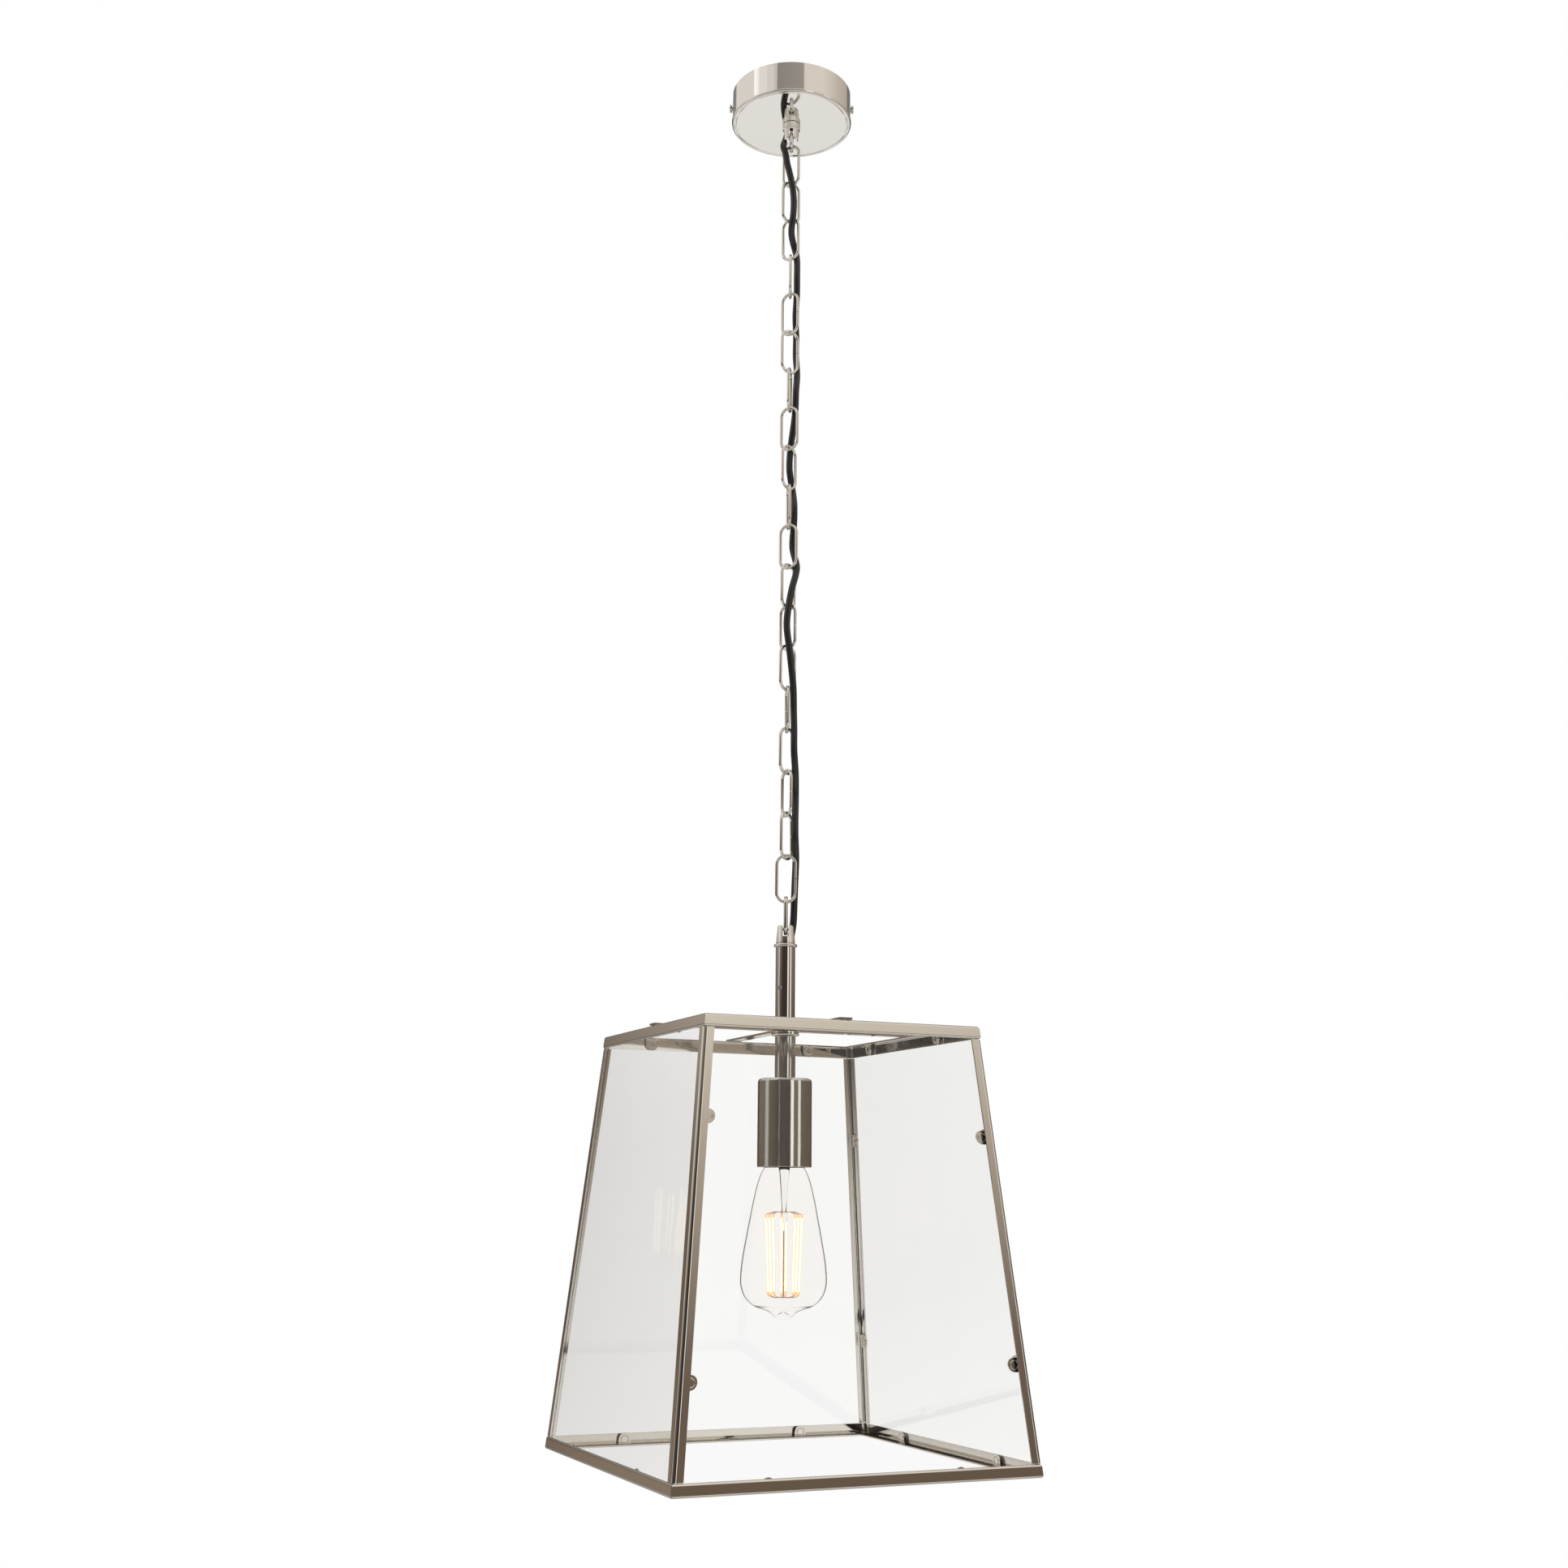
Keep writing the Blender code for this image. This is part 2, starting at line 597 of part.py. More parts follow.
def post_tab(name, middle, quarter_turns, mirror):
    """A tab reaching in from a post along one pane; mirror puts it on the post's other pane."""
    faces = []
    for depth in (TAB_INSET, TAB_INSET + TAB_SHEET):
        face = []
        for height, reach in tab_outline(SHEET - 0.6, POST_TAB_REACH, middle):
            x, y = reach - half_width(height), depth - half_width(height)
            face.append((y, x, height) if mirror else (x, y, height))
        faces.append(face)
    return prism(name, *faces, None, quarter_turns)


for label, quarters, bottom_tabs, top_tabs in SIDES:
    low = FRAME_BOTTOM
    outline = [(0, low), (RAIL_LIP, low), (RAIL_LIP, low + SHEET)]
    outline += [(SHEET, low + SHEET), (SHEET, low + RAIL_LEG), (0, low + RAIL_LEG)]
    rail = mitred(f"bottom_rail_{label}", outline, METAL, quarters)
    for i, along in enumerate(bottom_tabs):
        tab = rail_tab(f"bottom_tab_{label}_{i}", along, low + SHEET - 0.5, low + RAIL_TAB_REACH, quarters)
        combine(rail, tab, operation="UNION")
    high = FRAME_TOP
    outline = [(0, high), (0, high - RAIL_LEG), (SHEET, high - RAIL_LEG)]
    outline += [(SHEET, high - SHEET), (RAIL_LIP, high - SHEET), (RAIL_LIP, high)]
    rail = mitred(f"top_rail_{label}", outline, METAL, quarters)
    for i, along in enumerate(top_tabs):
        tab = rail_tab(f"top_tab_{label}_{i}", along, high - SHEET + 0.5, high - RAIL_TAB_REACH, quarters)
        combine(rail, tab, operation="UNION")

    ends = []
    for height in (low + SHEET + GAP, high - SHEET - GAP):
        outer = SHEET + GAP - half_width(height)
        across = half_width(height) - TAB_INSET - TAB_SHEET - GAP
        corners = [(-across, outer), (across, outer), (across, outer + GLASS), (-across, outer + GLASS)]
        ends.append([(x, y, height) for x, y in corners])
    prism(f"glass_pane_{label}", *ends, GLAZING, quarters)

for label, quarters, tabs in CORNERS:
    ends = []
    for height in (FRAME_BOTTOM + RAIL_LEG + GAP, FRAME_TOP - RAIL_LEG - GAP):
        c = -half_width(height)
        outline = [(c + 0.5, c), (c + POST_LEG, c), (c + POST_LEG, c + SHEET), (c + SHEET, c + SHEET)]
        outline += [(c + SHEET, c + POST_LEG), (c, c + POST_LEG), (c, c + 0.5)]
        ends.append([(x, y, height) for x, y in outline])
    post = prism(f"corner_post_{label}", *ends, METAL, quarters)
    for i, (middle, mirror) in enumerate(tabs):
        tab = post_tab(f"post_tab_{label}_{i}", middle, quarters, mirror)
        combine(post, tab, operation="UNION")

# Cross straps in the top plane, sitting on the rails' lips, with the hub that carries stem and lamp.
reach = TOP_HALF - 0.6
strap_low, strap_high = FRAME_TOP + GAP, FRAME_TOP + 1.8
cross = box("top_cross", (-reach, -5, strap_low), (reach, 5, strap_high), METAL)
second = box("cross_strap_back", (-5, -reach, strap_low), (5, reach, strap_high), None)
combine(cross, second, operation="UNION")
hub_rows = [(0, strap_low), (11, strap_low), (11, strap_high + 0.6), (0, strap_high + 0.6)]
combine(cross, turned("cross_hub", hub_rows, None, 40), operation="UNION")
bore = THREAD_RADIUS + GAP
bore_rows = [(0, FRAME_TOP - 9), (bore, FRAME_TOP - 9), (bore, FRAME_TOP + 9), (0, FRAME_TOP + 9)]
combine(cross, turned("hub_bore", bore_rows, None, 40))
nut_top, nut_low = strap_low - GAP, strap_low - GAP - 3.2
turned(
    "hub_nut",
    [
        (THREAD_RADIUS + GAP, nut_top),
        (10.5, nut_top),
        (10.5, nut_low + 0.6),
        (9.9, nut_low),
        (THREAD_RADIUS + GAP, nut_low),
    ],
    METAL,
    40,
    ring=True,
)

# Lamp: tube with threaded ends, cover, holder insert with its centre contact.
tube_top, tube_low = nut_low - GAP, FRAME_TOP - LAMP_TUBE_DROP
bore = CABLE_RADIUS + 0.6
turned(
    "lamp_tube",
    [
        (bore, FRAME_TOP + 12),
        (THREAD_RADIUS, FRAME_TOP + 12),
        (THREAD_RADIUS, tube_top),
        (LAMP_TUBE_RADIUS, tube_top),
        (LAMP_TUBE_RADIUS, tube_low),
        (THREAD_RADIUS, tube_low),
        (THREAD_RADIUS, tube_low - 9),
        (bore, tube_low - 9),
    ],
    LAMP_METAL,
    40,
    ring=True,
)
cover_top = tube_low - GAP
cover_low = cover_top - COVER_LENGTH
turned(
    "holder_cover",
    [
        (THREAD_RADIUS + GAP, cover_top),
        (COVER_RADIUS - 2.5, cover_top),
        (COVER_RADIUS - 0.6, cover_top - 0.8),
        (COVER_RADIUS, cover_top - 2.6),
        (COVER_RADIUS, cover_low),
        (COVER_RADIUS - 1, cover_low),
        (COVER_RADIUS - 1, cover_top - 1.4),
        (THREAD_RADIUS + GAP, cover_top - 1.4),
    ],
    LAMP_METAL,
    64,
    ring=True,
)
insert_top = cover_top - 1.4 - GAP
insert_low = CAP_TOP - 26.0
turned(
    "holder_insert",
    [
        (THREAD_RADIUS + GAP, insert_top),
        (17.5, insert_top),
        (17.5, insert_low),
        (13.7, insert_low),
        (13.7, CAP_TOP + 6),
        (9, CAP_TOP + 9),
        (9, insert_top - 10),
        (THREAD_RADIUS + GAP, insert_top - 10),
    ],
    WHITE_PLASTIC,
    48,
    ring=True,
)
contact = box("centre_contact", (-3, -3, CAP_TOP + GAP), (3, 3, CAP_TOP + 1.0), BRASS)
tongue = box("contact_tongue", (-3, 2.2, CAP_TOP + GAP), (3, 3, CAP_TOP + 6), None)
combine(contact, tongue, operation="UNION")

# Bulb: screw cap, open-ended glass and the filament cage on its glass stem.
cap_rows = [(0, CAP_TOP), (4.2, CAP_TOP), (4.8, CAP_TOP - 1.4), (8.0, CAP_TOP - 3.2), (12.2, CAP_TOP - 4.4)]
for i in range(4):
    height = CAP_TOP - 6.2 - 3.6 * i
    cap_rows += [(12.4, height + 1.0), (13.2, height), (13.2, height - 0.8), (12.4, height - 1.8)]
cap_foot = CAP_TOP - 24.5
cap_rows += [(13.0, CAP_TOP - 21.0), (13.0, cap_foot), (12.2, cap_foot)]
cap_rows += [(11.6, CAP_TOP - 5.6), (0, CAP_TOP - 5.6)]
turned("bulb_cap", cap_rows, BRASS, 40)
body = BULB_TIP + 6.3
middle = body + 21.5
outer = [
    (11.2, CAP_TOP - 8),
    (11.2, cap_foot - 0.5),
    (14.0, cap_foot - 5),
    (19.0, cap_foot - 15.5),
    (22.7, middle + 60),
    (25.6, middle + 45),
    (28.2, middle + 31),
    (30.8, middle + 16),
    (BULB_RADIUS, middle + 4),
    (31.6, middle - 4),
    (28.6, middle - 11.5),
    (22.6, middle - 17.3),
    (14.0, middle - 20.5),
    (10.4, body - 0.8),
    (8.0, body - 3.2),
    (4.6, BULB_TIP + 0.8),
    (0, BULB_TIP),
]
inside = [(0, body + 1.1)]
inside += [(radius - 1.0, height + 0.9 * (radius < 29)) for radius, height in outer[12:1:-1]]
inside += [(10.2, cap_foot - 0.5), (10.2, CAP_TOP - 8)]
turned("bulb_glass", outer + inside, BULB_GLASS, 48, ring=True)

cage_top, cage_low = -931.7, -984.7
filament = turned(
    "bulb_filament",
    [
        (0, CAP_TOP - 10),
        (6.5, CAP_TOP - 10),
        (6.5, CAP_TOP - 12),
        (3.2, CAP_TOP - 20),
        (2.2, cage_top + 8),
        (1.6, cage_top + 4),
        (1.6, cage_top - 4),
        (0.8, cage_top - 8),
        (0.8, cage_low - 2),
        (0, cage_low - 2),
    ],
    FILAMENT,
    16,
)
strands = 8
for i in range(strands):
    angle = 2 * math.pi * (i + 0.3) / strands
    x, y = 11.4 * math.cos(angle), 11.4 * math.sin(angle)
    for height, label in ((cage_top, "upper"), (cage_low, "lower")):
        spoke = rod(f"{label}_spoke_{i}", (0, 0, height), (x, y, height), 0.45, None, 6)
        combine(filament, spoke, operation="UNION")
    strand = rod(f"strand_{i}", (x, y, cage_low - 0.8), (x, y, cage_top + 0.8), 0.6, None, 6)
    combine(filament, strand, operation="UNION")
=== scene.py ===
"""Looks for the hanging square lantern: metal, clear panes, linked chain, cable and a glowing long bulb.

Everything is in metres in the model's own frame: the ceiling face is z = 0 and the lantern hangs below it.
"""

import json
import math

import bmesh
import bpy
import numpy as np
from mathutils import Matrix, Vector

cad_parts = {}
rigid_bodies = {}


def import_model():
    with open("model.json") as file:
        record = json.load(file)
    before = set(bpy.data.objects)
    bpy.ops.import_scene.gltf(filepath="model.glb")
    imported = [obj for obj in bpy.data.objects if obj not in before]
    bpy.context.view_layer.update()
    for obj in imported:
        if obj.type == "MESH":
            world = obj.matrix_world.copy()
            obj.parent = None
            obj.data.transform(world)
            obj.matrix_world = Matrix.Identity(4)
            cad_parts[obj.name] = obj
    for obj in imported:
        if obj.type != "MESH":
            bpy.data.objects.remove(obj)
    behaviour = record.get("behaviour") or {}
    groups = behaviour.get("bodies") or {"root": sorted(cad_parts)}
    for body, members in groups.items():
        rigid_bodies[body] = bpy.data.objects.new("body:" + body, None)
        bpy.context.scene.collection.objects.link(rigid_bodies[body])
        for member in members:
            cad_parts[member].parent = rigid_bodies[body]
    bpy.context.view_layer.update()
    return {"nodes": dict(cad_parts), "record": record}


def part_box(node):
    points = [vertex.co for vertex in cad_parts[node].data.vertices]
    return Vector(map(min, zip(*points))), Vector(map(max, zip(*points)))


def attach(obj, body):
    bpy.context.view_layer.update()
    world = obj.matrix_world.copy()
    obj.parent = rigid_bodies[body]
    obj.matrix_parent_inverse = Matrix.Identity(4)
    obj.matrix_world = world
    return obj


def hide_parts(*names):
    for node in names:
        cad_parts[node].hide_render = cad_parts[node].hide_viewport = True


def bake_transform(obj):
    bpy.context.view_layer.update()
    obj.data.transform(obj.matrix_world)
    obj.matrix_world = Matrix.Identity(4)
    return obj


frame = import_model()

MM = 0.001
HANG_TURN = math.radians(-23.75)  # rose, chain and stem are turned by this about Z
RECORD = frame["record"]
JOINTS = {joint["child"]: joint for joint in RECORD["behaviour"]["joints"]}
BODY_OF = {node: body for body, nodes in RECORD["behaviour"]["bodies"].items() for node in nodes}
SLOT_OF = {row["node"]: row["material_slot"] for row in RECORD["subparts"]}
CHAIN = ["upper_ring"] + [f"link_{i:02d}" for i in range(1, 20)] + ["lower_ring"]

LINK_WIRE, LINK_WIDTH = 2.4 * MM, 17.0 * MM
RING_WIRE, RING_WIDTH = 3.2 * MM, 12.0 * MM
SEAM = 0.35 * MM  # gap where a link's two wire ends meet
LINK_WIRE_LENGTH = 90.0 * MM
RING_SEAM_SHARE = 0.0004
CABLE_RADIUS = 2.7 * MM

CAMERA_LENS, CAMERA_SENSOR = 43.03, 36.0  # mm
CAMERA_PLACE = (-0.00212, -1.43016, -0.92399)  # before the turn about Z
CAMERA_RISE, CAMERA_ROLL = 0.22217, 0.00754  # radians

FRAME_TOP, FRAME_BOTTOM = -0.794, -1.104
TOP_HALF, BOTTOM_HALF = 0.1078, 0.1367
RAIL_BEND, POST_BEND = 1.6 * MM, 3.0 * MM  # outer radius of the bent sheet
SHARP_EDGE, LONG_EDGE = 0.25 * MM, 0.1
TAB_FACE = 3.86 * MM  # depth of a tab's outer face in from the frame's face
TAB_SHEET = 0.9 * MM
RAIL_TAB_MIDDLE = 4.6 * MM  # middle of a tab's round end, in from its rail's outer face
POST_TAB_MIDDLE = 9.2 * MM  # and in from its post's corner
BOSS_RADIUS, BOSS_RIDGE = 3.0 * MM, 0.4 * MM
# Tabs of each side, in mm: along the bottom rail, along the top rail, heights at its left and right post.
SIDE_TABS = (
    ((-68, 74), (-60, 53), (-864, -1035), (-874, -1030)),
    ((-80, 68), (-47, 68), (-873, -1029), (-870, -1030)),
    ((-74, 73), (-67, 68), (), ()),
    ((-75, 62), (-57, 54), (), (-865, -1036)),
)

CAP_TOP, BULB_TIP = -0.863, -1.005
BULB_WALL = 0.7 * MM
STRANDS = 8
CAGE_TOP, CAGE_LOW, CAGE_RADIUS = -0.9317, -0.9847, 11.4 * MM
CAGE_FLARE = 1.18  # the cage is this much wider at its top
CLIP_LENGTH, CAGE_END = 2.4 * MM, 4.0 * MM

FLOOR_HEIGHT, FLOOR_HALF = -2.5, 3.0
LAMP_PLACE, LAMP_AIM = (-1.6, -1.2, 0.9), (0, 0, -0.95)

# ---------------------------------------------------------------- camera

def aim_camera():
    """The camera, level with the frame's upper half and looking up."""
    data = bpy.data.cameras.new("camera")
    data.sensor_width, data.lens = CAMERA_SENSOR, CAMERA_LENS
    camera = bpy.data.objects.new("camera", data)
    bpy.context.scene.collection.objects.link(camera)
    place = Matrix.Translation(CAMERA_PLACE)
    tilt = Matrix.Rotation(math.pi / 2 + CAMERA_RISE, 4, "X") @ Matrix.Rotation(CAMERA_ROLL, 4, "Z")
    camera.matrix_world = Matrix.Rotation(HANG_TURN, 4, "Z") @ place @ tilt
    bpy.context.scene.camera = camera


# ---------------------------------------------------------------- shader groups

def group(name, inputs, outputs):
    """An empty shader group with float inputs {name: default} and outputs {name: socket type}."""
    tree = bpy.data.node_groups.new(name, "ShaderNodeTree")
    for label, value in inputs.items():
        tree.interface.new_socket(label, in_out="INPUT", socket_type="NodeSocketFloat").default_value = value
    for label, kind in outputs.items():
        tree.interface.new_socket(label, in_out="OUTPUT", socket_type=kind)
    return tree, tree.nodes.new("NodeGroupInput"), tree.nodes.new("NodeGroupOutput")


def node(tree, kind, settings=None, **inputs):
    """A node with properties from settings and inputs by name, or i0, i1: a socket links, a value is set."""
    made = tree.nodes.new(kind)
    for key, value in (settings or {}).items():
        setattr(made, key, value)
    for key, value in inputs.items():
        by_number = key[0] == "i" and key[1:].isdigit()
        socket = made.inputs[int(key[1:]) if by_number else key.replace("_", " ")]
        if isinstance(value, bpy.types.NodeSocket):
            tree.links.new(value, socket)
        else:
            socket.default_value = value
    return made


def noise(tree, place, scale, detail):
    return node(tree, "ShaderNodeTexNoise", Vector=place, Scale=scale, Detail=detail).outputs["Fac"]


def polish_group():
    """Handled polish: cloudy roughness, fine hairlines and a faint change of tone."""
    tree, given, out = group(
        "handled polish",
        {"Cloud Scale": 18.0, "Roughness": 0.12, "Spread": 0.1, "Line Height": 0.05},
        {"Roughness": "NodeSocketFloat", "Tone": "NodeSocketFloat", "Normal": "NodeSocketVector"},
    )
    place = node(tree, "ShaderNodeTexCoord").outputs["Object"]
    cloud = noise(tree, place, given.outputs["Cloud Scale"], 5.0)
    centred = node(tree, "ShaderNodeMath", {"operation": "SUBTRACT"}, i0=cloud, i1=0.5).outputs[0]
    rough = node(tree, "ShaderNodeMath", {"operation": "MULTIPLY_ADD"}, i0=centred, i1=given.outputs["Spread"],
                 i2=given.outputs["Roughness"]).outputs[0]
    tree.links.new(rough, out.inputs["Roughness"])
    broad = noise(tree, place, 7.0, 2.0)
    tree.links.new(broad, out.inputs["Tone"])
    stretched = node(tree, "ShaderNodeMapping", Vector=place, Scale=(900.0, 900.0, 60.0)).outputs[0]
    hair = noise(tree, stretched, 1.0, 3.0)
    bump = node(tree, "ShaderNodeBump", Strength=given.outputs["Line Height"], Distance=0.0002, Height=hair)
    tree.links.new(bump.outputs[0], out.inputs["Normal"])
    return tree


def smudge_group():
    """Dust and finger marks on glass, as a roughness that is nearly zero over most of the surface."""
    tree, given, out = group(
        "glass smudge",
        {"Scale": 9.0, "Most": 0.05},
        {"Roughness": "NodeSocketFloat", "Mask": "NodeSocketFloat"},
    )
    place = node(tree, "ShaderNodeTexCoord").outputs["Object"]
    cloud = noise(tree, place, given.outputs["Scale"], 6.0)
    mask = node(tree, "ShaderNodeMapRange", Value=cloud, From_Min=0.55, From_Max=0.8).outputs[0]
    rough = node(tree, "ShaderNodeMath", {"operation": "MULTIPLY"}, i0=mask, i1=given.outputs["Most"]).outputs[0]
    tree.links.new(rough, out.inputs["Roughness"])
    tree.links.new(mask, out.inputs["Mask"])
    return tree


def grain_group():
    """Fine moulded or drawn grain, as a height for a bump and a mask for tone."""
    tree, given, out = group(
        "fine grain", {"Scale": 900.0}, {"Height": "NodeSocketFloat", "Tone": "NodeSocketFloat"}
    )
    place = node(tree, "ShaderNodeTexCoord").outputs["Object"]
    fine = noise(tree, place, given.outputs["Scale"], 4.0)
    broad = noise(tree, place, 40.0, 3.0)
    tree.links.new(fine, out.inputs["Height"])
    tree.links.new(broad, out.inputs["Tone"])
    return tree


# ---------------------------------------------------------------- materials

def blank(name):
    """A new material with its node tree and Principled surface."""
    made = bpy.data.materials.new(name)
    made.use_nodes = True
    return made, made.node_tree, made.node_tree.nodes["Principled BSDF"]


def placed(tree, source, **values):
    """A shader group put into a material, with its own values."""
    made = tree.nodes.new("ShaderNodeGroup")
    made.node_tree = source
    for key, value in values.items():
        made.inputs[key.replace("_", " ")].default_value = value
    return made


def tone_mix(tree, mask, dark, light):
    """A colour between dark and light by mask."""
    mix = tree.nodes.new("ShaderNodeMix")
    mix.data_type = "RGBA"
    tree.links.new(mask, mix.inputs["Factor"])
    mix.inputs["A"].default_value = (*dark, 1)
    mix.inputs["B"].default_value = (*light, 1)
    return mix.outputs["Result"]


def polished(name, dark, light, roughness, spread, lines=0.05, cloud=18.0):
    made, tree, surface = blank(name)
    marks = placed(tree, POLISH, Cloud_Scale=cloud, Roughness=roughness, Spread=spread, Line_Height=lines)
    surface.inputs["Metallic"].default_value = 1.0
    tree.links.new(tone_mix(tree, marks.outputs["Tone"], dark, light), surface.inputs["Base Color"])
    tree.links.new(marks.outputs["Roughness"], surface.inputs["Roughness"])
    tree.links.new(marks.outputs["Normal"], surface.inputs["Normal"])
    return made


def clear_glass(name, tint, ior, scale, most):
    made, tree, surface = blank(name)
    marks = placed(tree, SMUDGE, Scale=scale, Most=most)
    surface.inputs["Transmission Weight"].default_value = 1.0
    surface.inputs["IOR"].default_value = ior
    shade = tuple(0.985 * part for part in tint)
    tree.links.new(tone_mix(tree, marks.outputs["Mask"], tint, shade), surface.inputs["Base Color"])
    tree.links.new(marks.outputs["Roughness"], surface.inputs["Roughness"])
    return made


def moulded(name, dark, light, roughness, grain, depth, coat=0.0):
    made, tree, surface = blank(name)
    marks = placed(tree, GRAIN, Scale=grain)
    tree.links.new(tone_mix(tree, marks.outputs["Tone"], dark, light), surface.inputs["Base Color"])
    bump = node(tree, "ShaderNodeBump", Strength=depth, Distance=0.0002, Height=marks.outputs["Height"])
    tree.links.new(bump.outputs[0], surface.inputs["Normal"])
    surface.inputs["Roughness"].default_value = roughness
    surface.inputs["Coat Weight"].default_value = coat
    return made


def glowing(name, low=(1.0, 0.80, 0.46), high=(1.0, 0.88, 0.6), strength=3.2):
    """Hot wire, a little yellower where the noise is low. Also used to paint a glow onto the clips, which are no
    lamp.
    """
    made, tree, surface = blank(name)
    marks = placed(tree, GRAIN, Scale=300.0)
    colour = tone_mix(tree, marks.outputs["Tone"], low, high)
    tree.links.new(colour, surface.inputs["Base Color"])
    tree.links.new(colour, surface.inputs["Emission Color"])
    surface.inputs["Emission Strength"].default_value = strength
    return made


POLISH, SMUDGE, GRAIN = polish_group(), smudge_group(), grain_group()
FINISHES = {
    "frame_metal": polished("warm nickel plate", (0.73, 0.705, 0.67), (0.79, 0.77, 0.74), 0.05, 0.05, 0.03),
    "chain_metal": polished("chain nickel", (0.74, 0.71, 0.66), (0.82, 0.80, 0.76), 0.08, 0.08, 0.05, 60.0),
    "zinc_steel": polished("zinc plate", (0.55, 0.56, 0.57), (0.68, 0.68, 0.68), 0.3, 0.2, 0.2, 80.0),
    "lamp_metal": polished("lamp tube nickel", (0.70, 0.69, 0.67), (0.78, 0.77, 0.75), 0.09, 0.06),
    "contact_brass": polished("bright brass", (0.70, 0.5, 0.24), (0.82, 0.62, 0.33), 0.22, 0.15, 0.2, 60.0),
    "glass_clear": clear_glass("clear pane glass", (0.992, 0.996, 0.993), 1.4, 9.0, 0.015),
    "bulb_glass": clear_glass("blown bulb glass", (1.0, 0.985, 0.975), 1.02, 25.0, 0.02),
    "filament_glow": glowing("glowing filament"),
    "black_cable": moulded("black cable sheath", (0.006,) * 3, (0.016, 0.016, 0.017), 0.38, 1800.0, 0.25, 0.2),
    "white_plastic": moulded("white insulator", (0.78, 0.77, 0.73), (0.86, 0.85, 0.82), 0.35, 900.0, 0.1, 0.1),
}
SUPPORT_WIRE = polished("support wire", (0.5, 0.49, 0.47), (0.62, 0.6, 0.58), 0.25, 0.1, 0.1, 80.0)
# Painted light: a copy of the support wire tinted orange, as if lit by the glowing filament; the hooks and leads
# wear it.
WIRE_PAINTED_GLOW_LIT = polished("glow-lit support wire", (0.74, 0.42, 0.30), (0.86, 0.54, 0.40), 0.25, 0.1, 0.1, 80.0)
# Painted light: the strands' end clips are made to glow orange, though they are no lamp.
CLIP_PAINTED_GLOW = glowing("glow-lit clip", (0.92, 0.38, 0.12), (1.0, 0.55, 0.2), 0.9)
STEM_GLASS = clear_glass("bulb stem glass", (0.97, 0.975, 0.965), 1.2, 60.0, 0.05)
AMBER_SLEEVE = clear_glass("amber filament coating", (0.99, 0.72, 0.42), 1.02, 200.0, 0.3)


# ---------------------------------------------------------------- pieces

def piece(name, data, finish=None):
    """A new object at the origin, in one finish if one is given."""
    made = bpy.data.objects.new(name, data)
    bpy.context.scene.collection.objects.link(made)
    if finish:
        data.materials.clear()
        data.materials.append(finish)
    return made


def applied(source, name, finish):
    """The evaluated mesh of source as a plain piece at the origin; source is removed."""
    bpy.context.view_layer.update()
    evaluated = source.evaluated_get(bpy.context.evaluated_depsgraph_get())
    data = bpy.data.meshes.new_from_object(evaluated)
    data.transform(source.matrix_world)
    shape = bmesh.new()
    shape.from_mesh(data)
    bmesh.ops.remove_doubles(shape, verts=shape.verts, dist=1e-6)
    bmesh.ops.recalc_face_normals(shape, faces=shape.faces)
    shape.to_mesh(data)
    shape.free()
    bpy.data.objects.remove(source)
    return piece(name, data, finish)


def settle(made, body, slot, *replaced):
    """Attaches a finished piece to its body and hides the CAD nodes it stands for. The slot argument is not
    used.
    """
    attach(made, body)
    if replaced:
        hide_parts(*replaced)
    return made


def smooth(made, angle=35):
    made.data.shade_smooth()
    made.data.set_sharp_from_angle(angle=math.radians(angle))
    return made


def half_width(height):
    """Half of the frame's outer width at a height."""
    return BOTTOM_HALF + (TOP_HALF - BOTTOM_HALF) * (height - FRAME_BOTTOM) / (FRAME_TOP - FRAME_BOTTOM)


def is_outer(point):
    """Whether a point of the frame is on the edge where its two outer faces meet."""
    side = sorted((abs(point.x), abs(point.y)))
    reach = half_width(point.z)
    if side[0] > reach - 0.6 * MM:
        return True
    at_end = min(abs(point.z - FRAME_TOP), abs(point.z - FRAME_BOTTOM)) < 0.01 * MM
    return at_end and side[1] > reach - 0.05 * MM


def eased(name, width, segments=2, bend=0.0):
    """A CAD node with its edges eased, and its bent outer edge rounder, standing in for the node."""
    shape = bmesh.new()
    shape.from_mesh(frame["nodes"][name].data)
    bmesh.ops.remove_doubles(shape, verts=shape.verts, dist=2e-6)
    flat = math.radians(0.6)
    bmesh.ops.dissolve_limit(shape, angle_limit=flat, verts=shape.verts, edges=shape.edges)
    if bend:
        for corner in shape.verts:
            if "post" in name and is_outer(corner.co):
                reach = half_width(corner.co.z)
                corner.co.x = math.copysign(reach, corner.co.x)
                corner.co.y = math.copysign(reach, corner.co.y)
        bmesh.ops.remove_doubles(shape, verts=shape.verts, dist=2e-6)
        outer = [edge for edge in shape.edges if all(is_outer(end.co) for end in edge.verts)]
        outer = [edge for edge in outer if edge.calc_length() > LONG_EDGE]
        bmesh.ops.bevel(shape, geom=outer, offset=bend, segments=7, profile=0.5, affect="EDGES")
    data = bpy.data.meshes.new(name)
    shape.to_mesh(data)
    shape.free()
    rough = piece(name + "_rough", data)
    bevel = rough.modifiers.new("eased edges", "BEVEL")
    bevel.width, bevel.segments = width, segments
    bevel.limit_method, bevel.angle_limit = "ANGLE", math.radians(40)
    rough.data.polygons.foreach_set("use_smooth", [True] * len(rough.data.polygons))
    even = rough.modifiers.new("flat faces stay flat", "WEIGHTED_NORMAL")
    even.weight, even.thresh, even.keep_sharp = 100, 0.001, False
    made = applied(rough, name + "_finish", FINISHES[SLOT_OF[name]])
    return settle(made, BODY_OF[name], SLOT_OF[name], name)


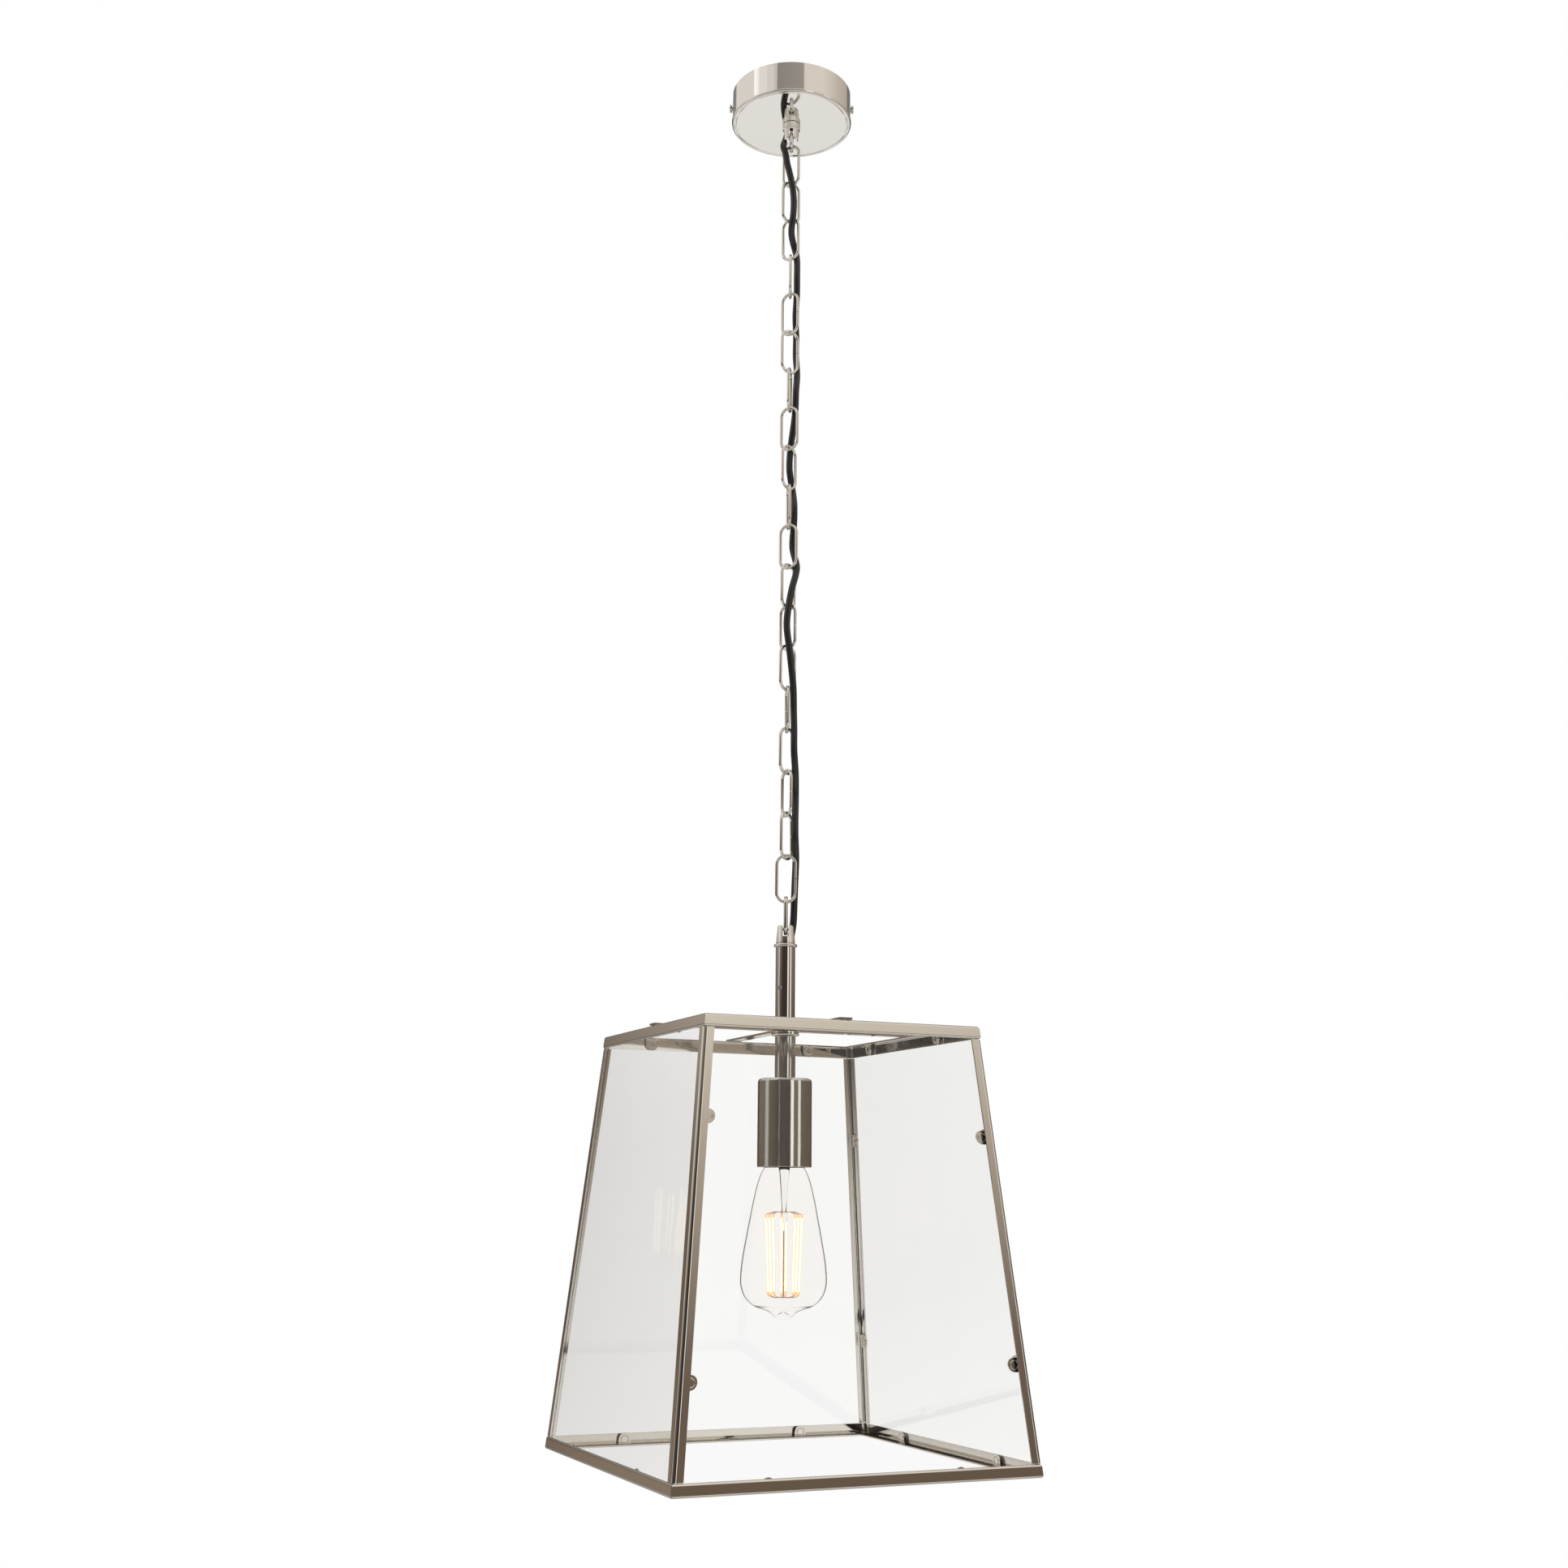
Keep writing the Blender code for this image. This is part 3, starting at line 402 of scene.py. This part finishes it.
def turned(name, outline, finish, segments=96):
    """A turned shell from a closed (radius, height) outline, spun by a Screw modifier."""
    data = bpy.data.meshes.new(name)
    points = [(radius, 0, height) for radius, height in outline]
    data.from_pydata(points, [(i, i + 1) for i in range(len(points) - 1)], [])
    rough = piece(name + "_outline", data)
    screw = rough.modifiers.new("spin", "SCREW")
    screw.steps = screw.render_steps = segments
    screw.use_merge_vertices, screw.merge_threshold = True, 0.00001
    return smooth(applied(rough, name, finish), 50)


def wire(name, points, radius, finish, cyclic=False, resolution=3):
    """A round wire through points, as a plain mesh."""
    curve = bpy.data.curves.new(name, "CURVE")
    curve.dimensions = "3D"
    curve.bevel_depth, curve.bevel_resolution, curve.use_fill_caps = radius, resolution, True
    line = curve.splines.new("POLY")
    line.points.add(len(points) - 1)
    for target, point in zip(line.points, points):
        target.co = (*point, 1)
    line.use_cyclic_u = cyclic
    return smooth(applied(piece(name + "_path", curve), name, finish), 60)


# ---------------------------------------------------------------- chain

def link_tree():
    """Geometry Nodes: a bent wire swept round the link's centreline, with its ends cut at the seam."""
    tree = bpy.data.node_groups.new("bent wire link", "GeometryNodeTree")
    face = tree.interface
    face.new_socket("Geometry", in_out="INPUT", socket_type="NodeSocketGeometry")
    face.new_socket("Wire Radius", in_out="INPUT", socket_type="NodeSocketFloat")
    face.new_socket("Sides", in_out="INPUT", socket_type="NodeSocketInt")
    face.new_socket("Seam Share", in_out="INPUT", socket_type="NodeSocketFloat")
    face.new_socket("Finish", in_out="INPUT", socket_type="NodeSocketMaterial")
    face.new_socket("Geometry", in_out="OUTPUT", socket_type="NodeSocketGeometry")
    given, out = tree.nodes.new("NodeGroupInput"), tree.nodes.new("NodeGroupOutput")
    seam = given.outputs["Seam Share"]
    rest = node(tree, "ShaderNodeMath", {"operation": "SUBTRACT"}, i0=1.0, i1=seam).outputs[0]
    trimmed = node(tree, "GeometryNodeTrimCurve", Curve=given.outputs["Geometry"])
    tree.links.new(seam, trimmed.inputs["Start"])
    tree.links.new(rest, trimmed.inputs["End"])
    profile = node(tree, "GeometryNodeCurvePrimitiveCircle", Resolution=given.outputs["Sides"],
                   Radius=given.outputs["Wire Radius"])
    swept = node(tree, "GeometryNodeCurveToMesh", Curve=trimmed.outputs[0], Profile_Curve=profile.outputs[0],
                 Fill_Caps=True)
    solid = node(tree, "GeometryNodeRealizeInstances", Geometry=swept.outputs[0])
    done = node(tree, "GeometryNodeSetMaterial", Geometry=solid.outputs[0], Material=given.outputs["Finish"])
    tree.links.new(done.outputs[0], out.inputs[0])
    return tree


def feed(modifier, **values):
    """Sets a Geometry Nodes modifier's inputs by name."""
    for item in modifier.node_group.interface.items_tree:
        key = item.name.replace(" ", "_")
        if item.item_type == "SOCKET" and item.in_out == "INPUT" and key in values:
            modifier[item.identifier] = values[key]


def oval(length, width, gauge, arc=17):
    """Link centreline from the middle of its right side, once round, about its middle in the XZ plane."""
    radius = (width - gauge) / 2
    rise = (length - gauge) / 2 - radius
    points = [(radius, 0, 0)]
    for i in range(arc):
        angle = math.pi * i / (arc - 1)
        points.append((radius * math.cos(angle), 0, rise + radius * math.sin(angle)))
    for i in range(arc):
        angle = math.pi + math.pi * i / (arc - 1)
        points.append((radius * math.cos(angle), 0, -rise + radius * math.sin(angle)))
    return points + [(radius, 0, 0)]


def plane_turn(body):
    """The turn about Z of a ring's or link's plane, from the hinge that hangs on it."""
    hung = next(joint for joint in JOINTS.values() if joint["parent"] == body)
    turn = math.atan2(hung["axis"][1], hung["axis"][0])
    return turn + math.pi / 2 if body == "lower_ring" else turn


def chain_piece(tree, body, name, gauge, width, seam_share):
    """One ring or link, bent from wire in the place of its CAD node."""
    low, high = (np.array(corner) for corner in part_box(name))
    curve = bpy.data.curves.new(name, "CURVE")
    curve.dimensions = "3D"
    line = curve.splines.new("POLY")
    path = oval(high[2] - low[2], width, gauge)
    line.points.add(len(path) - 1)
    for target, point in zip(line.points, path):
        target.co = (*point, 1)
    rough = piece(name + "_path", curve)
    middle = Matrix.Translation((0, 0, (low[2] + high[2]) / 2))
    rough.matrix_world = middle @ Matrix.Rotation(plane_turn(body), 4, "Z")
    sweep = rough.modifiers.new("link wire", "NODES")
    sweep.node_group = tree
    finish = FINISHES["chain_metal"]
    feed(sweep, Wire_Radius=gauge / 2, Sides=16, Seam_Share=seam_share, Finish=finish)
    made = smooth(applied(rough, name + "_wire", finish), 60)
    settle(made, body, "chain_metal", name)


def build_chain():
    tree = link_tree()
    chain_piece(tree, "upper_ring", "rose_ring", RING_WIRE, RING_WIDTH, RING_SEAM_SHARE)
    for body in CHAIN[1:-1]:
        chain_piece(tree, body, "chain_" + body, LINK_WIRE, LINK_WIDTH, SEAM / (2 * LINK_WIRE_LENGTH))
    chain_piece(tree, "lower_ring", "stem_ring", RING_WIRE, RING_WIDTH, RING_SEAM_SHARE)


# ---------------------------------------------------------------- cable

def cable_points(step=2.5 * MM):
    """The centreline of the CAD cable: the middle of its tube's cut at even heights, then lightly smoothed."""
    data = frame["nodes"]["supply_cable"].data
    corners = np.array([vertex.co for vertex in data.vertices])
    edges = np.array([edge.vertices for edge in data.edges])
    starts, ends = corners[edges[:, 0]], corners[edges[:, 1]]
    top, bottom = corners[:, 2].max() - 0.8 * MM, corners[:, 2].min() + 0.01 * MM
    levels = np.linspace(top, bottom, round((top - bottom) / step))
    points = []
    for level in levels:
        crossing = (starts[:, 2] - level) * (ends[:, 2] - level) < 0
        share = (level - starts[crossing, 2]) / (ends[crossing, 2] - starts[crossing, 2])
        cut_points = starts[crossing] + share[:, None] * (ends[crossing] - starts[crossing])
        points.append((cut_points.min(0) + cut_points.max(0)) / 2)
    points = np.array(points)
    for _ in range(2):
        points[1:-1] = (points[:-2] + 2 * points[1:-1] + points[2:]) / 4
    return points


def build_cable():
    """One sheath, split at the middle of every link, so that one run spans each hinge.

    The chain guides it and both its ends are inside fittings, so it is not a free cord.
    """
    points = cable_points()
    bodies = ["ceiling"] + CHAIN + ["lantern"]
    middles = [JOINTS["upper_ring"]["pos_m"][2] + 6 * MM]
    for name in ["rose_ring", *("chain_" + body for body in CHAIN[1:-1]), "stem_ring"]:
        low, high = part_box(name)
        middles.append((low[2] + high[2]) / 2)
    middles.append(JOINTS["lantern"]["pos_m"][2] - 5 * MM)
    heights = points[:, 2]

    def stretch(top, bottom):
        inside = points[(heights < top - 1e-6) & (heights > bottom + 1e-6)]
        first, last = (
            [np.interp(-level, -heights, points[:, axis]) for axis in range(3)] for level in (top, bottom)
        )
        return np.vstack([first, inside, last])

    finish = FINISHES["black_cable"]
    runs = [("cable_in_rose", heights[0], middles[0], None)]
    for i in range(len(middles) - 1):
        runs.append((f"cable_run_{i:02d}", middles[i], middles[i + 1], (bodies[i], bodies[i + 1])))
    runs.append(("cable_in_stem", middles[-1], heights[-1], None))
    for name, top, bottom, across in runs:
        made = wire(name, stretch(top, bottom), CABLE_RADIUS, finish, resolution=6)
        if across:
            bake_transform(made)
        else:
            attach(made, "ceiling" if name == "cable_in_rose" else "lantern")
        if name == "cable_in_rose":
            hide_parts("supply_cable")


# ---------------------------------------------------------------- tabs

def boss_tree():
    """Geometry Nodes: a raised ring and dimple on every point, facing along the point's own normal."""
    tree = bpy.data.node_groups.new("tab bosses", "GeometryNodeTree")
    face = tree.interface
    face.new_socket("Geometry", in_out="INPUT", socket_type="NodeSocketGeometry")
    face.new_socket("Boss Radius", in_out="INPUT", socket_type="NodeSocketFloat")
    face.new_socket("Ridge Radius", in_out="INPUT", socket_type="NodeSocketFloat")
    face.new_socket("Finish", in_out="INPUT", socket_type="NodeSocketMaterial")
    face.new_socket("Geometry", in_out="OUTPUT", socket_type="NodeSocketGeometry")
    given, out = tree.nodes.new("NodeGroupInput"), tree.nodes.new("NodeGroupOutput")
    path = node(tree, "GeometryNodeCurvePrimitiveCircle", Resolution=20, Radius=given.outputs["Boss Radius"])
    ridge = node(tree, "GeometryNodeCurvePrimitiveCircle", Resolution=8, Radius=given.outputs["Ridge Radius"])
    ring = node(tree, "GeometryNodeCurveToMesh", Curve=path.outputs[0], Profile_Curve=ridge.outputs[0])
    facing = node(tree, "GeometryNodeInputNamedAttribute", {"data_type": "FLOAT_VECTOR"}, Name="facing")
    turn = node(tree, "FunctionNodeAlignRotationToVector", {"axis": "Z"}, Vector=facing.outputs[0])
    spread = node(tree, "GeometryNodeInstanceOnPoints", Points=given.outputs["Geometry"],
                  Instance=ring.outputs[0], Rotation=turn.outputs[0])
    solid = node(tree, "GeometryNodeRealizeInstances", Geometry=spread.outputs[0])
    done = node(tree, "GeometryNodeSetMaterial", Geometry=solid.outputs[0], Material=given.outputs["Finish"])
    tree.links.new(done.outputs[0], out.inputs[0])
    return tree


def build_tab_bosses():
    """An embossed ring near the round end of every tab, on both of its faces."""
    lean = math.atan2(BOTTOM_HALF - TOP_HALF, FRAME_TOP - FRAME_BOTTOM)
    places, facings = [], []
    for quarter, (bottom, top, left, right) in enumerate(SIDE_TABS):
        spots = [(along * MM, FRAME_BOTTOM + RAIL_TAB_MIDDLE) for along in bottom]
        spots += [(along * MM, FRAME_TOP - RAIL_TAB_MIDDLE) for along in top]
        for heights, way in ((left, -1), (right, 1)):
            spots += [(way * (half_width(z * MM) - POST_TAB_MIDDLE), z * MM) for z in heights]
        turn = Matrix.Rotation(quarter * math.pi / 2, 4, "Z")
        normal = turn @ Vector((0, -math.cos(lean), math.sin(lean)))
        for x, height in spots:
            for depth, way in ((TAB_FACE, 1), (TAB_FACE + TAB_SHEET, -1)):
                places.append(turn @ Vector((x, depth - half_width(height), height)))
                facings.append(normal * way)
    data = bpy.data.meshes.new("tab_spots")
    data.from_pydata(places, [], [])
    attribute = data.attributes.new("facing", "FLOAT_VECTOR", "POINT")
    attribute.data.foreach_set("vector", np.array(facings, np.float32).ravel())
    rough = piece("tab_spots", data)
    bosses = rough.modifiers.new("bosses", "NODES")
    bosses.node_group = boss_tree()
    finish = FINISHES["frame_metal"]
    feed(bosses, Boss_Radius=BOSS_RADIUS, Ridge_Radius=BOSS_RIDGE, Finish=finish)
    settle(smooth(applied(rough, "tab_bosses", finish), 60), "lantern", "frame_metal")


def build_rose():
    """The drawn cup of the ceiling rose: straight wall, rolled rim, groove and flat polished plate."""
    low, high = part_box("ceiling_rose")
    rim, wall = 1.4 * MM, 1.0 * MM
    radius, base = (high[0] - low[0]) / 2 - rim / 2, low[2]
    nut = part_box("rose_loop_nut")
    hole = min(5.3 * MM, (nut[1][0] - nut[0][0]) / 2)
    outline = [(radius, 0.0), (radius, base + 2.4 * MM)]
    for step in range(9):
        angle = math.radians(60 - 150 * step / 8)
        reach = radius - 0.75 * MM + rim * math.cos(angle)
        outline.append((reach, base + rim + rim * math.sin(angle)))
    groove = ((1.6, 0.1), (2.1, 0.9), (2.9, 0.9), (3.4, 0.15))  # mm in from the wall, mm up from the plate
    outline += [(radius - across * MM, base + up * MM) for across, up in groove]
    outline += [(hole, base), (hole, base + wall), (radius - 3.6 * MM, base + 1.7 * MM)]
    outline += [(radius - wall, base + 3.0 * MM), (radius - wall, 0.0), (radius, 0.0)]
    cup = turned("ceiling_rose_cup", outline, FINISHES["frame_metal"], 128)
    settle(cup, "ceiling", "frame_metal", "ceiling_rose")


# ---------------------------------------------------------------- lamp

def bulb_outline():
    """Outer profile of the long bulb, neck to tip, as smooth samples of given points."""
    foot, body = CAP_TOP - 0.0245, BULB_TIP + 0.0063
    middle = body + 0.0215
    marks = [
        (11.2, CAP_TOP - 0.008), (11.4, foot - 0.0005), (14.0, foot - 0.005), (19.0, foot - 0.0155),
        (22.7, middle + 0.060), (25.6, middle + 0.045), (28.2, middle + 0.031), (30.8, middle + 0.016),
        (32.0, middle + 0.004), (31.6, middle - 0.004), (28.6, middle - 0.0115), (22.6, middle - 0.0173),
        (14.5, middle - 0.0203), (10.6, body - 0.0004), (8.2, body - 0.0031), (4.6, BULB_TIP + 0.0008),
        (0.0, BULB_TIP),
    ]
    route = np.array([(radius * MM, height) for radius, height in marks])
    samples = []
    for i in range(len(route) - 1):
        before, start, end = route[max(i - 1, 0)], route[i], route[i + 1]
        after = route[min(i + 2, len(route) - 1)]
        for t in (0, 0.25, 0.5, 0.75):
            bend = (2 * before - 5 * start + 4 * end - after) * t**2
            bend += (3 * start - before - 3 * end + after) * t**3
            samples.append(0.5 * (2 * start + (end - before) * t + bend))
    samples = [(max(radius, 0.0), height) for radius, height in samples]
    return samples + [(0.0, BULB_TIP)]


def build_envelope():
    """The thin blown glass, open at its neck and solid in its tip."""
    outer = bulb_outline()
    inner = []
    for radius, height in outer:
        if radius > 6 * MM:
            lifted = radius - BULB_WALL < 20 * MM and height < -0.98
            inner.append((radius - BULB_WALL, height + BULB_WALL * lifted))
    inner.append((0.0, BULB_TIP + 0.0063 + BULB_WALL))
    glass = turned("bulb_envelope", outer[::-1] + inner, FINISHES["bulb_glass"], 96)
    settle(glass, "bulb", "bulb_glass", "bulb_glass")


def build_stem():
    """The glass stem inside the neck, with the thin mast that carries the cage's lower end."""
    marks = (
        (0.0, -10), (1.3, -9), (1.5, -4), (2.4, -2), (2.6, 3), (1.9, 7), (2.3, 16), (3.2, 28),
    )  # mm: radius, height from the cage's top
    outline = [(radius * MM, CAGE_TOP + height * MM) for radius, height in marks]
    outline += [(6.0 * MM, CAP_TOP - 0.016), (8.6 * MM, CAP_TOP - 0.010), (0.0, CAP_TOP - 0.010)]
    settle(turned("bulb_stem", outline, STEM_GLASS, 48), "bulb", "bulb_glass", "bulb_filament")
    mast = [(0, 0, CAGE_TOP - 0.009), (0, 0, CAGE_LOW - CAGE_END)]
    settle(wire("bulb_mast", mast, 0.45 * MM, SUPPORT_WIRE), "bulb", "zinc_steel")


def build_strand(number, angle):
    """One glowing strand in its coating, with a clip and a hook wire at each end."""
    x, y = CAGE_RADIUS * math.cos(angle), CAGE_RADIUS * math.sin(angle)
    wide_x, wide_y = CAGE_FLARE * x, CAGE_FLARE * y
    low, high = (x, y, CAGE_LOW), (wide_x, wide_y, CAGE_TOP)
    foot, head = (x, y, CAGE_LOW - CLIP_LENGTH), (wide_x, wide_y, CAGE_TOP + CLIP_LENGTH)
    upper = [(0.1 * x, 0.1 * y, CAGE_TOP + 4.2 * MM), (0.7 * x, 0.7 * y, CAGE_TOP + 4.4 * MM), head]
    lower = [(0, 0, CAGE_LOW - CAGE_END), (0.7 * x, 0.7 * y, CAGE_LOW - CAGE_END), foot]
    for name, path, radius, finish, slot in (
        ("filament", (low, high), 0.6 * MM, FINISHES["filament_glow"], "filament_glow"),
        ("filament_coat", (low, high), 0.95 * MM, AMBER_SLEEVE, "filament_glow"),
        # painted light: the clips glow though they are no lamp
        ("upper_clip", (high, head), 0.8 * MM, CLIP_PAINTED_GLOW, "filament_glow"),
        ("lower_clip", (low, foot), 0.8 * MM, CLIP_PAINTED_GLOW, "filament_glow"),
        # painted light: the hooks are tinted as if lit by the filament
        ("upper_hook", upper, 0.28 * MM, WIRE_PAINTED_GLOW_LIT, "zinc_steel"),
        ("lower_hook", lower, 0.28 * MM, WIRE_PAINTED_GLOW_LIT, "zinc_steel"),
    ):
        settle(wire(f"{name}_{number}", path, radius, finish), "bulb", slot)


def build_bulb():
    build_envelope()
    build_stem()
    for i in range(STRANDS):
        build_strand(i + 1, 2 * math.pi * (i + 0.3) / STRANDS)
    marks = ((4.5, CAP_TOP - 0.012), (3.2, CAGE_TOP + 0.03), (1.9, CAGE_TOP + 0.012), (1.2, CAGE_TOP + 4.2 * MM))
    for side, name in ((-1, "lead_left"), (1, "lead_right")):
        lead = [(side * across * MM, 0, height) for across, height in marks]
        # painted light: the leads are tinted as if lit by the filament
        settle(wire(name, lead, 0.28 * MM, WIRE_PAINTED_GLOW_LIT), "bulb", "zinc_steel")


# ---------------------------------------------------------------- studio

# Reflected room by height: 0 straight down, 0.5 the horizon, 1 straight up.
ROOM_BY_HEIGHT = (
    (0.0, (0.95, 0.945, 0.93)),
    (0.38, (0.95, 0.945, 0.93)),
    (0.44, (0.36, 0.30, 0.24)),
    (0.50, (0.16, 0.12, 0.09)),
    (0.545, (0.18, 0.14, 0.11)),
    (0.60, (0.52, 0.465, 0.40)),
    (0.64, (0.84, 0.80, 0.73)),
    (0.70, (0.84, 0.80, 0.74)),
    (1.0, (0.9, 0.9, 0.9)),
)
# Reflected room by bearing seen from the lantern: 0 and 1 away from the camera, 0.5 at it, 0.75 its right.
ROOM_BY_BEARING = (
    (0.0, 1.0),
    (0.022, 1.0),
    (0.03, 0.3),
    (0.105, 0.3),
    (0.12, (1.0, 0.98, 0.95)),
    (0.30, 1.0),
    (0.315, (0.75, 0.72, 0.69)),
    (0.40, (0.75, 0.72, 0.69)),
    (0.58, (0.98, 0.95, 0.9)),
    (0.68, (0.98, 0.95, 0.9)),
    (0.78, (0.75, 0.70, 0.65)),
    (0.88, (0.62, 0.56, 0.51)),
    (0.89, 0.25),
    (0.965, 0.25),
    (0.978, 1.0),
)
# How much of the dark card and of the light panels shows, by bearing and by height.
CARD_COLOUR = (0.05, 0.04, 0.035)
CARD_BY_BEARING = (
    (0.31, 0.0), (0.32, 0.25), (0.36, 0.25), (0.365, 0.6), (0.40, 0.6), (0.405, 1.0), (0.565, 1.0), (0.568, 0.0),
)
CARD_BY_HEIGHT = ((0.38, 0.0), (0.42, 1.0), (0.62, 1.0), (0.72, 0.62), (0.84, 0.5), (0.95, 0.0))
PANEL_COLOUR = (1.25, 1.23, 1.18)
PANEL_BY_BEARING = (
    (0.24, 0.0), (0.26, 0.35), (0.295, 0.35), (0.30, 0.0), (0.57, 0.0), (0.575, 1.0), (0.605, 1.0), (0.609, 0.0),
    (0.662, 0.0), (0.668, 0.8), (0.70, 0.8), (0.71, 0.0),
)
PANEL_BY_HEIGHT = ((0.36, 0.0), (0.40, 1.0), (0.60, 1.0), (0.66, 0.0))


def ramp(tree, value, stops):
    """The colour of value on a ramp of (position, grey or colour) stops."""
    made = tree.nodes.new("ShaderNodeValToRGB")
    tree.links.new(value, made.inputs["Fac"])
    elements = made.color_ramp.elements
    while len(elements) < len(stops):
        elements.new(0.5)
    for element, (position, colour) in zip(elements, stops):
        element.position = position
        element.color = (*(colour if isinstance(colour, tuple) else (colour,) * 3), 1)
    return made.outputs[0]


def light_world():
    """White to the camera; in reflections a dark warm horizon, a bright top, a dark card and light panels."""
    world = bpy.data.worlds.new("studio")
    bpy.context.scene.world = world
    world.use_nodes = True
    tree = world.node_tree
    tree.nodes.clear()

    def maths(operation, first, second):
        return node(tree, "ShaderNodeMath", {"operation": operation}, i0=first, i1=second).outputs[0]

    def blend(first, second, mask, kind="MIX"):
        settings = {"data_type": "RGBA", "blend_type": kind}
        mixed = node(tree, "ShaderNodeMix", settings, Factor=mask, A=first, B=second)
        return mixed.outputs["Result"]

    place = node(tree, "ShaderNodeTexCoord").outputs["Generated"]
    turned_room = node(tree, "ShaderNodeMapping", {"vector_type": "POINT"}, Vector=place,
                       Rotation=(0.0, 0.0, -HANG_TURN)).outputs[0]
    parts = node(tree, "ShaderNodeSeparateXYZ", Vector=turned_room)
    rise = node(tree, "ShaderNodeMapRange", Value=parts.outputs["Z"], From_Min=-1.0, From_Max=1.0).outputs[0]
    back = maths("MULTIPLY", parts.outputs["Y"], -1.0)
    azimuth = maths("ARCTAN2", parts.outputs["X"], back)
    bearing = node(tree, "ShaderNodeMapRange", Value=azimuth, From_Min=-math.pi, From_Max=math.pi).outputs[0]

    room = blend(ramp(tree, rise, ROOM_BY_HEIGHT), ramp(tree, bearing, ROOM_BY_BEARING), 1.0, "MULTIPLY")
    card = maths("MULTIPLY", ramp(tree, bearing, CARD_BY_BEARING), ramp(tree, rise, CARD_BY_HEIGHT))
    room = blend(room, (*CARD_COLOUR, 1), card)
    panel = maths("MULTIPLY", ramp(tree, bearing, PANEL_BY_BEARING), ramp(tree, rise, PANEL_BY_HEIGHT))
    room = blend(room, (*PANEL_COLOUR, 1), panel)
    seen_room = node(tree, "ShaderNodeBackground", Color=room, Strength=1.0)
    white = node(tree, "ShaderNodeBackground", Color=(1, 1, 1, 1), Strength=1.0)
    ray = node(tree, "ShaderNodeLightPath")
    seen = maths("MAXIMUM", ray.outputs["Is Camera Ray"], ray.outputs["Is Transmission Ray"])
    direct = maths("LESS_THAN", ray.outputs["Glossy Depth"], 0.5)
    choice = node(tree, "ShaderNodeMixShader", Fac=maths("MULTIPLY", seen, direct))
    tree.links.new(seen_room.outputs[0], choice.inputs[1])
    tree.links.new(white.outputs[0], choice.inputs[2])
    tree.links.new(choice.outputs[0], node(tree, "ShaderNodeOutputWorld").inputs["Surface"])


def lay_floor():
    shape = bmesh.new()
    bmesh.ops.create_grid(shape, x_segments=1, y_segments=1, size=FLOOR_HALF)
    bmesh.ops.translate(shape, vec=(0, 0, FLOOR_HEIGHT), verts=shape.verts)
    data = bpy.data.meshes.new("floor")
    shape.to_mesh(data)
    shape.free()
    pale = moulded("pale floor", (0.78, 0.77, 0.75), (0.82, 0.81, 0.79), 0.6, 30.0, 0.05)
    piece("floor", data, pale)


def place_lamps():
    """A broad soft lamp high at the left."""
    soft = bpy.data.lights.new("soft_left", "AREA")
    soft.size, soft.energy = 1.6, 3.0
    lamp = bpy.data.objects.new("soft_left", soft)
    bpy.context.scene.collection.objects.link(lamp)
    lamp.location = Matrix.Rotation(HANG_TURN, 3, "Z") @ Vector(LAMP_PLACE)
    lamp.rotation_euler = (Vector(LAMP_AIM) - lamp.location).to_track_quat("-Z", "Y").to_euler()


# ---------------------------------------------------------------- build

aim_camera()
build_cable()
build_chain()

for side in ("front", "right", "back", "left"):
    eased(f"top_rail_{side}", SHARP_EDGE, 2, RAIL_BEND)
    eased(f"bottom_rail_{side}", SHARP_EDGE, 2, RAIL_BEND)
for corner in ("front_left", "front_right", "back_right", "back_left"):
    eased(f"corner_post_{corner}", SHARP_EDGE, 2, POST_BEND)
for name in ("rose_loop", "stem_loop", "stem_flange", "stem_tube"):
    eased(name, 0.3 * MM)
for name in ("hub_nut", "top_cross", "holder_cover", "lamp_tube"):
    eased(name, 0.3 * MM)
for name in ("ceiling_bracket", "rose_screw_left", "rose_screw_right", "stem_set_screw"):
    eased(name, 0.15 * MM)
build_rose()
build_tab_bosses()
build_bulb()

for name, thing in frame["nodes"].items():
    thing.data.materials.clear()
    thing.data.materials.append(FINISHES[SLOT_OF[name]])

light_world()
lay_floor()
place_lamps()
bpy.context.scene.view_settings.view_transform = "Standard"
